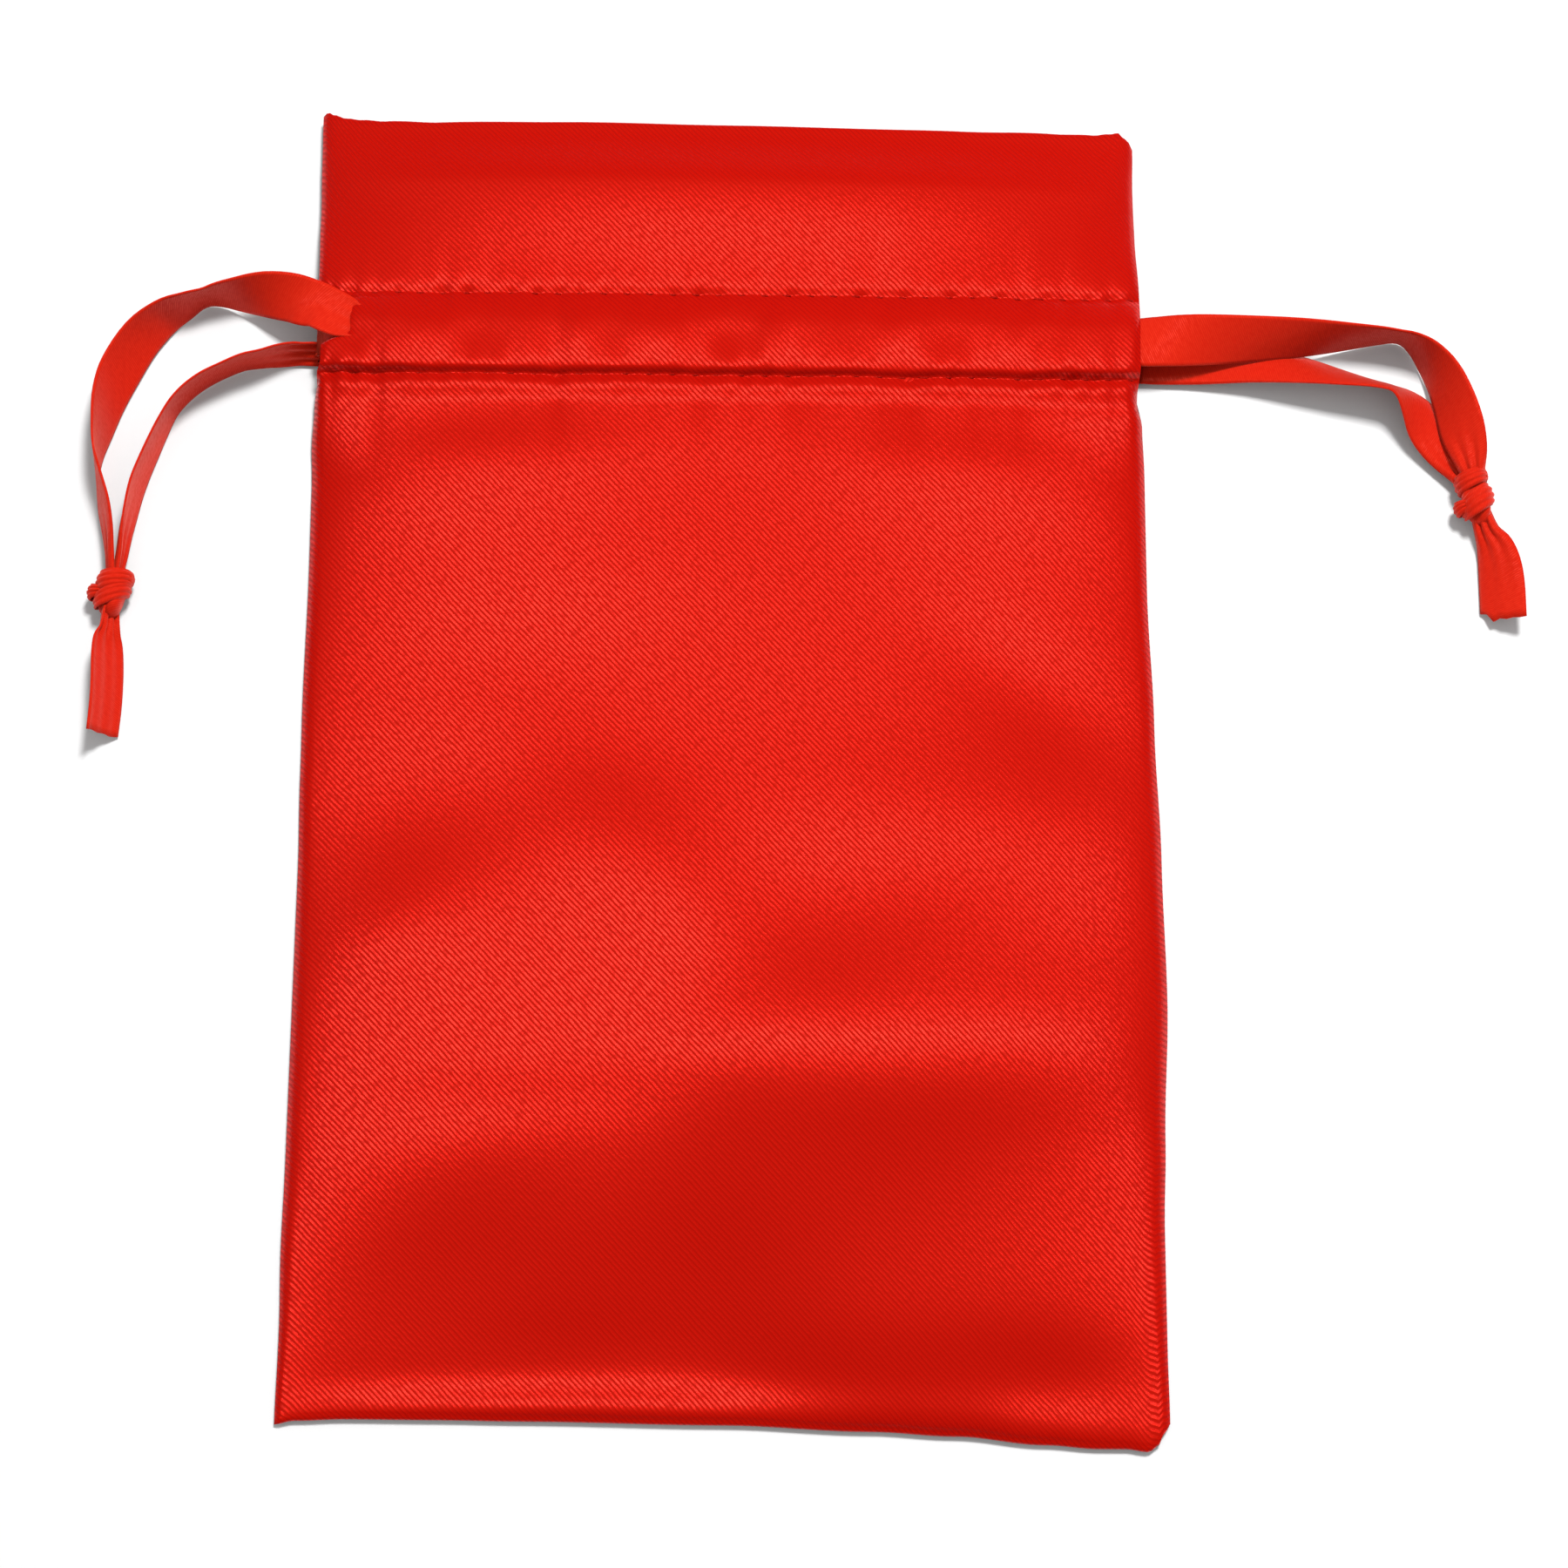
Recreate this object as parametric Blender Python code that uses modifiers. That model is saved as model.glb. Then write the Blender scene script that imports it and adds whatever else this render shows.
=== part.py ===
"""Drawstring pouch of satin, lying flat on its back panel with its mouth towards +Y.

The pouch is one strip of satin folded at the bottom and sewn up both sides. Its two ends are
turned down inside, so the heading is double, and two rows of stitching make a casing in each
panel. Two ribbon drawstrings run through both casings, one drawn out at each side, and each is
tied in an overhand knot with a short tail.

The origin is the middle of the pouch on the surface that it lies on. Across is X, along is Y.
"""

import math

import bmesh
import bpy
from mathutils import Matrix, Vector

MM = 0.001

# Pouch
POUCH_WIDTH = 100.4 * MM
POUCH_LENGTH = 160.0 * MM
HEADING = 23.7 * MM
CASING = 10.8 * MM
HEM_BELOW_CASING = 2.5 * MM
HEM_STEP = 0.5 * MM
CLOTH = 0.35 * MM
SEAM = 1.2 * MM

# How far the front panel's inner face stands above the surface, and where
BODY_STAND = 6.2 * MM
NECK_STAND = 6.7 * MM
MOUTH_STAND = 6.4 * MM
LIP_STAND = 5.6 * MM
SEAM_STAND = 0.8 * MM
FLAP_GAP = 0.5 * MM
CREST_FROM_MOUTH = 6.5 * MM
CROWN_POWER = 2.6
CROWN_FALL = 0.75
FOLD_ROUND = 12.0 * MM
FOLD_LIFT = 0.35 * MM

# Outline of the cut strip as sewn: a little out of square
SIDE_BOW = 1.2 * MM
SIDE_BOW_AT = -30.0 * MM
SIDE_BOW_REACH = 45.0 * MM
TOP_SLANT = 0.5 * MM
BOTTOM_SLANT = 0.9 * MM
CORNER_EAR = 0.4 * MM
CORNER_REACH = 4.0 * MM

# Ribbons
RIBBON_WIDTH = 6.0 * MM
RIBBON_THICK = 0.3 * MM
CLEAR = 0.3 * MM
SHOULDER = 1.0 * MM
NOTCH = 4.2 * MM
NOTCH_INSET = 0.1 * MM

# Knots
KNOT_WIDTH = 4.3 * MM
KNOT_HEIGHT = 4.4 * MM
LEFT_KNOT_LENGTH = 6.2 * MM
RIGHT_KNOT_LENGTH = 7.0 * MM
BAND_THICK = 1.3 * MM

# Mesh density
SIDE_COLUMNS = 10
BODY_ROWS = 15
HEADING_ROWS = 6
STATION_STEP = 2.4 * MM

# Places that follow from the sizes
TOP = POUCH_LENGTH / 2
BOTTOM = -POUCH_LENGTH / 2
UPPER_ROW = TOP - HEADING
LOWER_ROW = UPPER_ROW - CASING
CASING_MID = (UPPER_ROW + LOWER_ROW) / 2
HEM_EDGE = LOWER_ROW - HEM_BELOW_CASING
SEAM_TOP = LOWER_ROW - HEM_STEP
TUNNEL = 2 * RIBBON_THICK + 3 * CLEAR
LANE_WIDTH = min(RIBBON_WIDTH, (CASING - 2 * SHOULDER - CLEAR) / 2)
LANE_OFFSET = (LANE_WIDTH + CLEAR) / 2
LOWER_LAYER = CLOTH + CLEAR + RIBBON_THICK / 2
UPPER_LAYER = LOWER_LAYER + RIBBON_THICK + CLEAR
CASING_WALL = 2 * CLOTH + TUNNEL
CASING_EDGE_STAND = CASING_WALL + FLAP_GAP
TURN_INSET = 2 * CLEAR

# Soft folds of the front panel: middle across as a share of the width, then middle along, reach
# along the fold and spread across it as shares of the length, turn in degrees from the X axis,
# and height as a share of the panel's
FOLDS = (
    (-0.33, -0.105, 0.105, 0.040, -10, 0.145),
    (-0.08, -0.012, 0.095, 0.044, -38, -0.113),
    (0.39, 0.080, 0.088, 0.038, 30, 0.130),
    (0.30, -0.088, 0.100, 0.038, 24, -0.130),
    (0.16, -0.188, 0.112, 0.044, -12, 0.130),
    (-0.12, -0.312, 0.162, 0.050, 4, -0.160),
    (-0.08, -0.419, 0.081, 0.028, 8, 0.130),
    (0.26, -0.350, 0.088, 0.038, -30, 0.113),
    (-0.30, 0.150, 0.125, 0.050, 55, 0.097),
    (0.14, 0.162, 0.100, 0.038, 80, -0.097),
)

# Where a ribbon lies at the casing's ends, as a share of the room beside it: where each is drawn
# out of the front and of the back casing, and where each turns back at its far side
LEFT_EXITS = {"front": 0.85, "back": -0.5}
RIGHT_EXITS = {"front": -0.2, "back": -0.8}
TURN_SHARE = 0.7

# Free strands, each from where it leaves the casing to its knot. A point is its distance out from
# the pouch's side, its distance along from the middle of the casing, its height, its lean from
# lying flat in degrees with the outer selvedge going up, and the ribbon's width there.
LEFT_FRONT_STRAND = (
    (-4.2 * MM, 1.2 * MM, 5.27 * MM, 0, 5.6 * MM),
    (-3.0 * MM, 1.6 * MM, 5.35 * MM, 0, 5.6 * MM),
    (-1.7 * MM, 2.4 * MM, 5.45 * MM, 0, 5.6 * MM),
    (-0.3 * MM, 3.3 * MM, 5.4 * MM, 4, 5.8 * MM),
    (1.2 * MM, 4.1 * MM, 5.2 * MM, 12, 6.0 * MM),
    (3.2 * MM, 4.9 * MM, 4.8 * MM, 26, 6.0 * MM),
    (6.2 * MM, 5.4 * MM, 4.4 * MM, 46, 6.0 * MM),
    (9.5 * MM, 5.6 * MM, 3.8 * MM, 70, 6.0 * MM),
    (12.2 * MM, 5.7 * MM, 3.4 * MM, 86, 6.0 * MM),
    (14.0 * MM, 5.4 * MM, 3.3 * MM, 92, 6.0 * MM),
    (16.0 * MM, 4.4 * MM, 3.3 * MM, 82, 6.0 * MM),
    (18.6 * MM, 3.0 * MM, 3.1 * MM, 68, 6.0 * MM),
    (21.4 * MM, 0.3 * MM, 2.75 * MM, 53, 6.0 * MM),
    (23.7 * MM, -3.8 * MM, 2.6 * MM, 48, 6.0 * MM),
    (24.9 * MM, -7.6 * MM, 2.9 * MM, 60, 6.0 * MM),
    (25.5 * MM, -11.6 * MM, 3.2 * MM, 76, 6.0 * MM),
    (25.8 * MM, -15.0 * MM, 3.3 * MM, 90, 6.0 * MM),
    (25.4 * MM, -18.2 * MM, 3.25 * MM, 102, 6.0 * MM),
    (24.7 * MM, -21.6 * MM, 3.1 * MM, 110, 5.8 * MM),
    (24.1 * MM, -24.6 * MM, 2.9 * MM, 110, 4.8 * MM),
    (23.7 * MM, -27.3 * MM, 2.7 * MM, 106, 3.6 * MM),
    (23.4 * MM, -29.6 * MM, 2.6 * MM, 102, 2.6 * MM),
)
LEFT_BACK_STRAND = (
    (1.9 * MM, -1.2 * MM, 0.8 * MM, 0, 4.0 * MM),
    (3.2 * MM, -1.6 * MM, 1.5 * MM, 38, 4.2 * MM),
    (4.8 * MM, -2.0 * MM, 2.5 * MM, 66, 4.8 * MM),
    (6.6 * MM, -2.4 * MM, 3.0 * MM, 80, 5.5 * MM),
    (8.8 * MM, -3.0 * MM, 3.3 * MM, 86, 6.0 * MM),
    (11.2 * MM, -4.1 * MM, 3.3 * MM, 88, 6.0 * MM),
    (13.5 * MM, -5.4 * MM, 3.3 * MM, 89, 6.0 * MM),
    (15.4 * MM, -7.0 * MM, 3.3 * MM, 89, 6.0 * MM),
    (16.9 * MM, -8.9 * MM, 3.3 * MM, 88, 6.0 * MM),
    (18.1 * MM, -11.5 * MM, 3.3 * MM, 88, 6.0 * MM),
    (19.1 * MM, -14.1 * MM, 3.3 * MM, 88, 6.0 * MM),
    (20.0 * MM, -16.6 * MM, 3.3 * MM, 88, 6.0 * MM),
    (20.8 * MM, -19.2 * MM, 3.3 * MM, 88, 6.0 * MM),
    (21.4 * MM, -22.0 * MM, 3.1 * MM, 88, 5.6 * MM),
    (21.9 * MM, -24.8 * MM, 2.9 * MM, 88, 4.6 * MM),
    (22.2 * MM, -27.4 * MM, 2.7 * MM, 88, 3.4 * MM),
    (22.5 * MM, -29.6 * MM, 2.6 * MM, 88, 2.6 * MM),
)
RIGHT_FRONT_STRAND = (
    (2.6 * MM, -0.2 * MM, 4.1 * MM, 4, 6.0 * MM),
    (6.8 * MM, 0.1 * MM, 4.2 * MM, 22, 6.0 * MM),
    (13.4 * MM, 0.5 * MM, 4.1 * MM, 44, 6.0 * MM),
    (19.6 * MM, 0.8 * MM, 3.8 * MM, 62, 6.0 * MM),
    (25.2 * MM, 1.1 * MM, 3.45 * MM, 80, 6.0 * MM),
    (29.2 * MM, 1.3 * MM, 3.3 * MM, 92, 6.0 * MM),
    (31.6 * MM, 1.2 * MM, 3.3 * MM, 98, 6.0 * MM),
    (33.3 * MM, 0.3 * MM, 3.3 * MM, 88, 6.0 * MM),
    (34.9 * MM, -1.3 * MM, 3.3 * MM, 72, 6.0 * MM),
    (36.6 * MM, -4.0 * MM, 3.4 * MM, 57, 6.0 * MM),
    (37.8 * MM, -7.4 * MM, 3.5 * MM, 46, 6.0 * MM),
    (38.6 * MM, -10.9 * MM, 3.6 * MM, 36, 5.8 * MM),
    (39.2 * MM, -13.6 * MM, 3.5 * MM, 24, 4.6 * MM),
    (39.6 * MM, -16.0 * MM, 3.3 * MM, 12, 3.0 * MM),
)
RIGHT_BACK_STRAND = (
    (2.6 * MM, -1.2 * MM, 0.8 * MM, 0, 6.0 * MM),
    (7.2 * MM, -1.3 * MM, 0.8 * MM, -6, 6.0 * MM),
    (13.6 * MM, -1.7 * MM, 1.4 * MM, -20, 6.0 * MM),
    (19.7 * MM, -2.8 * MM, 2.2 * MM, -37, 6.0 * MM),
    (24.8 * MM, -4.0 * MM, 2.7 * MM, -52, 6.0 * MM),
    (28.6 * MM, -4.9 * MM, 3.0 * MM, -61, 6.0 * MM),
    (30.8 * MM, -5.6 * MM, 2.9 * MM, -60, 6.0 * MM),
    (32.9 * MM, -7.4 * MM, 2.3 * MM, -40, 6.0 * MM),
    (34.9 * MM, -10.2 * MM, 1.4 * MM, -18, 6.0 * MM),
    (36.8 * MM, -13.2 * MM, 1.2 * MM, -6, 4.8 * MM),
    (38.6 * MM, -16.0 * MM, 1.7 * MM, 0, 3.0 * MM),
)

# Tails beyond the knots, given the same way
LEFT_TAIL = (
    (23.3 * MM, -33.8 * MM, 2.5 * MM, 56, 2.2 * MM),
    (23.3 * MM, -36.6 * MM, 2.4 * MM, 54, 3.0 * MM),
    (23.4 * MM, -38.4 * MM, 2.4 * MM, 54, 4.6 * MM),
    (23.3 * MM, -40.8 * MM, 2.5 * MM, 55, 5.2 * MM),
    (23.2 * MM, -43.4 * MM, 2.5 * MM, 56, 5.3 * MM),
    (23.2 * MM, -46.4 * MM, 2.5 * MM, 57, 5.3 * MM),
    (23.4 * MM, -50.0 * MM, 2.5 * MM, 58, 5.3 * MM),
)
RIGHT_TAIL = (
    (40.4 * MM, -20.8 * MM, 2.4 * MM, 20, 2.2 * MM),
    (41.2 * MM, -23.5 * MM, 2.1 * MM, 30, 3.0 * MM),
    (42.1 * MM, -25.4 * MM, 1.9 * MM, 34, 4.6 * MM),
    (42.6 * MM, -27.6 * MM, 1.9 * MM, 33, 5.4 * MM),
    (42.8 * MM, -30.4 * MM, 1.8 * MM, 31, 5.7 * MM),
    (42.8 * MM, -34.6 * MM, 1.8 * MM, 30, 5.7 * MM),
)

LEFT = -1
RIGHT = 1


def clear_scene():
    """Remove the objects that the file opened with."""
    for item in list(bpy.data.objects):
        bpy.data.objects.remove(item, do_unlink=True)


def new_collection(name):
    """A collection linked into the scene."""
    collection = bpy.data.collections.new(name)
    bpy.context.scene.collection.children.link(collection)
    return collection


def satin(name, color, roughness):
    """A plain satin material."""
    material = bpy.data.materials.new(name)
    material.use_nodes = True
    shader = material.node_tree.nodes["Principled BSDF"]
    shader.inputs["Base Color"].default_value = (*color, 1.0)
    shader.inputs["Roughness"].default_value = roughness
    shader.inputs["Metallic"].default_value = 0.0
    return material


def new_object(name, mesh_source, collection, material=None):
    """Link a bmesh into a collection as a named object."""
    mesh = bpy.data.meshes.new(name)
    bmesh.ops.recalc_face_normals(mesh_source, faces=mesh_source.faces)
    mesh_source.to_mesh(mesh)
    mesh_source.free()
    item = bpy.data.objects.new(name, mesh)
    collection.objects.link(item)
    if material is not None:
        mesh.materials.append(material)
    return item


def combine(item, tool, operation):
    """Add a Boolean modifier that cuts the tool from the item, or joins it on."""
    tool.hide_render = True
    tool.display_type = "WIRE"
    modifier = item.modifiers.new(f"{operation.lower()} {tool.name}", "BOOLEAN")
    modifier.operation = operation
    modifier.solver = "EXACT"
    modifier.object = tool


def ease(value, start, stop):
    """A smooth step from 0 at start to 1 at stop."""
    share = min(1.0, max(0.0, (value - start) / (stop - start)))
    return 0.5 - 0.5 * math.cos(math.pi * share)


def through(value, stations):
    """A smooth curve through (place, height) stations."""
    place, height = stations[0]
    for next_place, next_height in stations[1:]:
        if value <= next_place:
            return height + (next_height - height) * ease(value, place, next_place)
        place, height = next_place, next_height
    return height


def crown(across):
    """How far the front panel stands between its sides: 1 in the middle, 0 at a side."""
    return max(0.0, 1.0 - min(1.0, abs(across)) ** CROWN_POWER) ** CROWN_FALL


def fold_rise(along):
    """The rounding above the bottom fold, from 0 at the fold to 1 on the panel."""
    share = min(1.0, max(0.0, (along - BOTTOM) / FOLD_ROUND))
    return (1.0 - (1.0 - share) ** CROWN_POWER) ** 0.6


def cloth_place(across, along):
    """The outline: X and Y of a point given by its share across and its nominal Y."""
    bow = SIDE_BOW * math.exp(-(((along - SIDE_BOW_AT) / SIDE_BOW_REACH) ** 2))
    x = across * POUCH_WIDTH / 2 + max(0.0, across) * bow - SIDE_BOW / 2
    slant = TOP_SLANT if along > 0 else BOTTOM_SLANT
    y = along - slant * across * abs(along) / TOP
    ear_across = math.exp(-(((1 + across) * POUCH_WIDTH / 2 / CORNER_REACH) ** 2))
    ear_along = math.exp(-(((TOP - along) / CORNER_REACH) ** 2))
    return x, y + CORNER_EAR * ear_across * ear_along


def side_edge(side):
    """X of the pouch's side at the middle of the casing."""
    return cloth_place(side, CASING_MID)[0]


def soft_folds(x, y):
    """Height that the soft folds add to the front panel."""
    height = 0.0
    for across, along, reach, spread, turn, rise in FOLDS:
        angle = math.radians(turn)
        step_x, step_y = x - across * POUCH_WIDTH, y - along * POUCH_LENGTH
        run = (step_x * math.cos(angle) + step_y * math.sin(angle)) / (reach * POUCH_LENGTH)
        off = (step_y * math.cos(angle) - step_x * math.sin(angle)) / (spread * POUCH_LENGTH)
        height += rise * BODY_STAND * math.exp(-run ** 2 - off ** 2)
    return height


def tunnel_height(along):
    """Clear height of the casing, which its two rows of stitching close."""
    to_row = CASING / 2 - abs(along - CASING_MID)
    share = min(1.0, max(0.0, to_row / SHOULDER))
    return TUNNEL * math.sin(math.pi / 2 * share)


def wall(along):
    """Thickness of one panel: one layer below the hem, two above it and the casing between."""
    layers = 1.0 + ease(along, HEM_EDGE, HEM_EDGE + HEM_STEP)
    return layers * CLOTH + tunnel_height(along)


def back_outside(across, along):
    """The back panel lies flat, and its bottom fold lifts a little."""
    return FOLD_LIFT * (1.0 - ease(along, BOTTOM, BOTTOM + FOLD_ROUND / 6))


def back_inside(across, along):
    """Inner face of the back panel."""
    return back_outside(across, along) + wall(along)


def front_inside(across, along):
    """Inner face of the front panel, which crowns between the seams and is open at the mouth."""
    stand = through(along, (
        (BOTTOM, BODY_STAND),
        (HEM_EDGE - CASING, BODY_STAND),
        (LOWER_ROW, NECK_STAND),
        (UPPER_ROW, NECK_STAND),
        (TOP - CREST_FROM_MOUTH, MOUTH_STAND),
        (TOP, LIP_STAND),
    ))
    edge = through(along, (
        (BOTTOM, SEAM_STAND),
        (HEM_EDGE - CASING, SEAM_STAND),
        (LOWER_ROW, CASING_EDGE_STAND),
        (UPPER_ROW, CASING_EDGE_STAND),
        (TOP - CREST_FROM_MOUTH, 2 * CLOTH + FLAP_GAP),
        (TOP, 2 * CLOTH + FLAP_GAP),
    ))
    fade = ease(along, HEM_EDGE, HEM_EDGE - CASING) * fold_rise(along) * crown(across)
    x, y = cloth_place(across, along)
    full = fold_rise(along) * crown(across)
    return edge + (stand - edge) * full + soft_folds(x, y) * fade


def front_outside(across, along):
    """Outer face of the front panel."""
    return front_inside(across, along) + wall(along)


def side_columns():
    """Shares across, close together near the sides where the crown falls."""
    half = [math.sin(math.pi / 2 * k / SIDE_COLUMNS) for k in range(1, SIDE_COLUMNS + 1)]
    return [-share for share in reversed(half)] + [0.0] + half


def evenly(start, stop, count):
    """Places from start to stop, both included."""
    return [start + (stop - start) * k / count for k in range(count + 1)]


def casing_rows(shares):
    """Rows across one casing, close together at its shoulders."""
    near = [SHOULDER * share for share in shares]
    lower = [LOWER_ROW + step for step in near]
    upper = [UPPER_ROW - step for step in reversed(near)]
    return lower + [CASING_MID] + upper


def panel_rows():
    """Rows of the panels, from the bottom fold to the mouth."""
    turns = range(7)
    fold = [BOTTOM + FOLD_ROUND * (1 - math.cos(math.pi / 2 * k / 6)) for k in turns]
    body = evenly(BOTTOM + FOLD_ROUND, HEM_EDGE, BODY_ROWS)
    hem = [HEM_EDGE + HEM_STEP, SEAM_TOP, LOWER_ROW]
    heading = evenly(UPPER_ROW + SHOULDER, TOP - SHOULDER, HEADING_ROWS)
    casing = casing_rows((0.12, 0.3, 0.6, 1.0))
    return fold + body[1:] + hem + casing + [UPPER_ROW] + heading + [TOP]


def slab(name, collection, shares, rows, low, high, material=None):
    """A closed solid between two surfaces over the cloth's grid of shares across and rows.

    shares gives the share across of a column at a row, so that a cutter can widen at a seam.
    """
    count = len(shares(rows[0])) - 1
    solid = bmesh.new()
    bmesh.ops.create_grid(solid, x_segments=count, y_segments=len(rows) - 1, size=1.0)
    lower = list(solid.verts)
    spots = {}
    for vert in lower:
        column = round((vert.co.x + 1) / 2 * count)
        row = round((vert.co.y + 1) / 2 * (len(rows) - 1))
        spots[vert] = (shares(rows[row])[column], rows[row])
    raised = bmesh.ops.extrude_face_region(solid, geom=list(solid.faces))["geom"]
    upper = [item for item in raised if isinstance(item, bmesh.types.BMVert)]
    by_place = {tuple(round(value, 6) for value in vert.co): vert for vert in lower}
    for vert in upper:
        across, along = spots[by_place[tuple(round(value, 6) for value in vert.co)]]
        vert.co = (*cloth_place(across, along), high(across, along))
    for vert, (across, along) in spots.items():
        vert.co = (*cloth_place(across, along), low(across, along))
    return new_object(name, solid, collection, material)


def build_pouch(parts, cutters, material):
    """The folded and sewn strip: a shell open at the mouth, with a casing through each panel."""
    columns = side_columns()
    past = 1.06
    seam = 1 - SEAM / (POUCH_WIDTH / 2)

    rim = 1.004

    def hollow_shares(along):
        wide = (columns[-2], rim, past)
        narrow = (0.3 * columns[-3] + 0.7 * seam, 0.1 * columns[-3] + 0.9 * seam, seam)
        near = list(wide if along > SEAM_TOP else narrow)
        aside = 0.012 if along > TOP else 0.0
        shares = [-share for share in reversed(near)] + columns[2:-2] + near
        return [share + aside for share in shares]

    def tunnel_shares(along):
        return [-past, -rim] + columns[1:-1] + [rim, past]

    rows = panel_rows()
    between = [(low + high) / 2 for low, high in zip(rows, rows[1:])]
    hollow_rows = [BOTTOM + SEAM] + [row for row in between if row > BOTTOM + 1.5 * SEAM]
    hollow_rows.append(TOP + SEAM)
    tunnel_rows = casing_rows((0.2, 0.45, 0.8, 1.2))
    pouch = slab("pouch_body", parts, lambda along: columns, rows,
                 back_outside, front_outside, material)
    hollow = slab("inside", cutters, hollow_shares, hollow_rows, back_inside, front_inside)
    back_tunnel = slab(
        "back casing", cutters, tunnel_shares, tunnel_rows,
        lambda across, along: CLOTH,
        lambda across, along: CLOTH + tunnel_height(along),
    )
    front_tunnel = slab(
        "front casing", cutters, tunnel_shares, tunnel_rows,
        lambda across, along: front_inside(across, along) + CLOTH,
        lambda across, along: front_inside(across, along) + CLOTH + tunnel_height(along),
    )
    for cutter in (hollow, back_tunnel, front_tunnel, casing_notch(cutters)):
        combine(pouch, cutter, "DIFFERENCE")
    return pouch


def casing_notch(cutters):
    """Cutter for the left end of the front casing, which stops short of the side."""
    low = CASING_WALL + FLAP_GAP / 2
    high = NECK_STAND + 2 * CASING_WALL
    inner = side_edge(LEFT) + NOTCH
    size = Vector((2 * NOTCH, CASING - 2 * NOTCH_INSET, high - low))
    solid = bmesh.new()
    place = Matrix.Translation((inner - NOTCH, CASING_MID, (low + high) / 2))
    bmesh.ops.create_cube(solid, size=1.0, matrix=place @ Matrix.Diagonal((*size, 1.0)))
    return new_object("left end of front casing", solid, cutters)


def catmull(points, index, share):
    """A point of the smooth curve through a list of equal-length tuples."""
    last = len(points) - 1
    before = points[max(0, index - 1)]
    start = points[index]
    stop = points[min(last, index + 1)]
    after = points[min(last, index + 2)]
    mixed = []
    for a, b, c, d in zip(before, start, stop, after):
        bend = 2 * a - 5 * b + 4 * c - d
        twist = 3 * b - a - 3 * c + d
        mixed.append(0.5 * (2 * b + (c - a) * share + bend * share ** 2 + twist * share ** 3))
    return mixed


def strand_stations(points, side):
    """Stations of a free strand: centre, width direction and width, from the side outwards."""
    edge = side_edge(side)
    smooth = []
    for index in range(len(points) - 1):
        start = Vector(points[index][:2])
        steps = max(1, round((Vector(points[index + 1][:2]) - start).length / STATION_STEP))
        smooth.extend(catmull(points, index, step / steps) for step in range(steps))
    smooth.append(points[-1])
    centres = [Vector((edge + side * out, CASING_MID + along, height))
               for out, along, height, lean, width in smooth]
    stations = []
    for index, (out, along, height, lean, width) in enumerate(smooth):
        ahead = centres[min(index + 1, len(centres) - 1)]
        behind = centres[max(index - 1, 0)]
        heading = (ahead - behind).normalized()
        outer = Vector((0, 0, side)).cross(Vector((heading.x, heading.y, 0))).normalized()
        angle = math.radians(lean)
        spread = outer * math.cos(angle) + Vector((0, 0, 1)) * math.sin(angle)
        spread = (spread - heading * spread.dot(heading)).normalized()
        centre = centres[index].copy()
        resting = width / 2 * abs(spread.z) + RIBBON_THICK
        centre.z = max(centre.z, resting)
        stations.append((centre, spread, width))
    return stations


def casing_lane(side, panel, across):
    """Where a ribbon lies in a casing: its offset along, its layer and its width.

    side is the side that the ribbon is drawn out at. There it has the outer layer. At the other
    side it is the inner one, and in the middle the two ribbons lie beside each other.
    """
    own = -LANE_OFFSET * side
    bunch = 1 - ease(abs(across), 0.65, 0.92)
    room = CASING / 2 - SHOULDER - RIBBON_WIDTH / 2
    drawn = (LEFT_EXITS if side == LEFT else RIGHT_EXITS)[panel]
    end = room * (-TURN_SHARE * side if across * side < 0 else drawn)
    stack = ease(abs(across), 0.3, 0.65) * (1 if across * side > 0 else -1)
    width = RIBBON_WIDTH + (LANE_WIDTH - RIBBON_WIDTH) * bunch
    return end + (own - end) * bunch, stack, width


def casing_stations(side, panel):
    """Stations of a ribbon inside one casing, from its own side to the other."""
    end = 1.0
    if side == LEFT and panel == "front":
        end -= (NOTCH + CLEAR) / (POUCH_WIDTH / 2)
    columns = [share for share in side_columns() if share * side <= end]
    if side > 0:
        columns.reverse()
    spread = Vector((0, 1, 0))
    middle = (LOWER_LAYER + UPPER_LAYER) / 2
    stations = []
    for across in columns:
        offset, stack, width = casing_lane(side, panel, across)
        x, y = cloth_place(across, CASING_MID + offset)
        if panel == "front":
            base = front_inside(across, CASING_MID)
            height = base + middle + stack * (UPPER_LAYER - LOWER_LAYER) / 2
        else:
            height = middle - stack * (UPPER_LAYER - LOWER_LAYER) / 2
        stations.append((Vector((x, y, height)), spread, width))
    return stations


def turn_stations(side):
    """Stations of the turn round the far side, between the front and the back casing."""
    far = -side
    edge = side_edge(far) + far * TURN_INSET
    high = CASING_EDGE_STAND + LOWER_LAYER
    low = UPPER_LAYER
    offset = casing_lane(side, "front", far)[0]
    middle = (high + low) / 2
    radius = (high - low) / 2
    stations = []
    for step in range(7):
        angle = math.pi / 2 - math.pi * step / 6
        centre = Vector((
            edge + far * radius * math.cos(angle),
            CASING_MID + offset,
            middle + radius * math.sin(angle),
        ))
        stations.append((centre, Vector((0, 1, 0)), RIBBON_WIDTH))
    return stations


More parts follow.
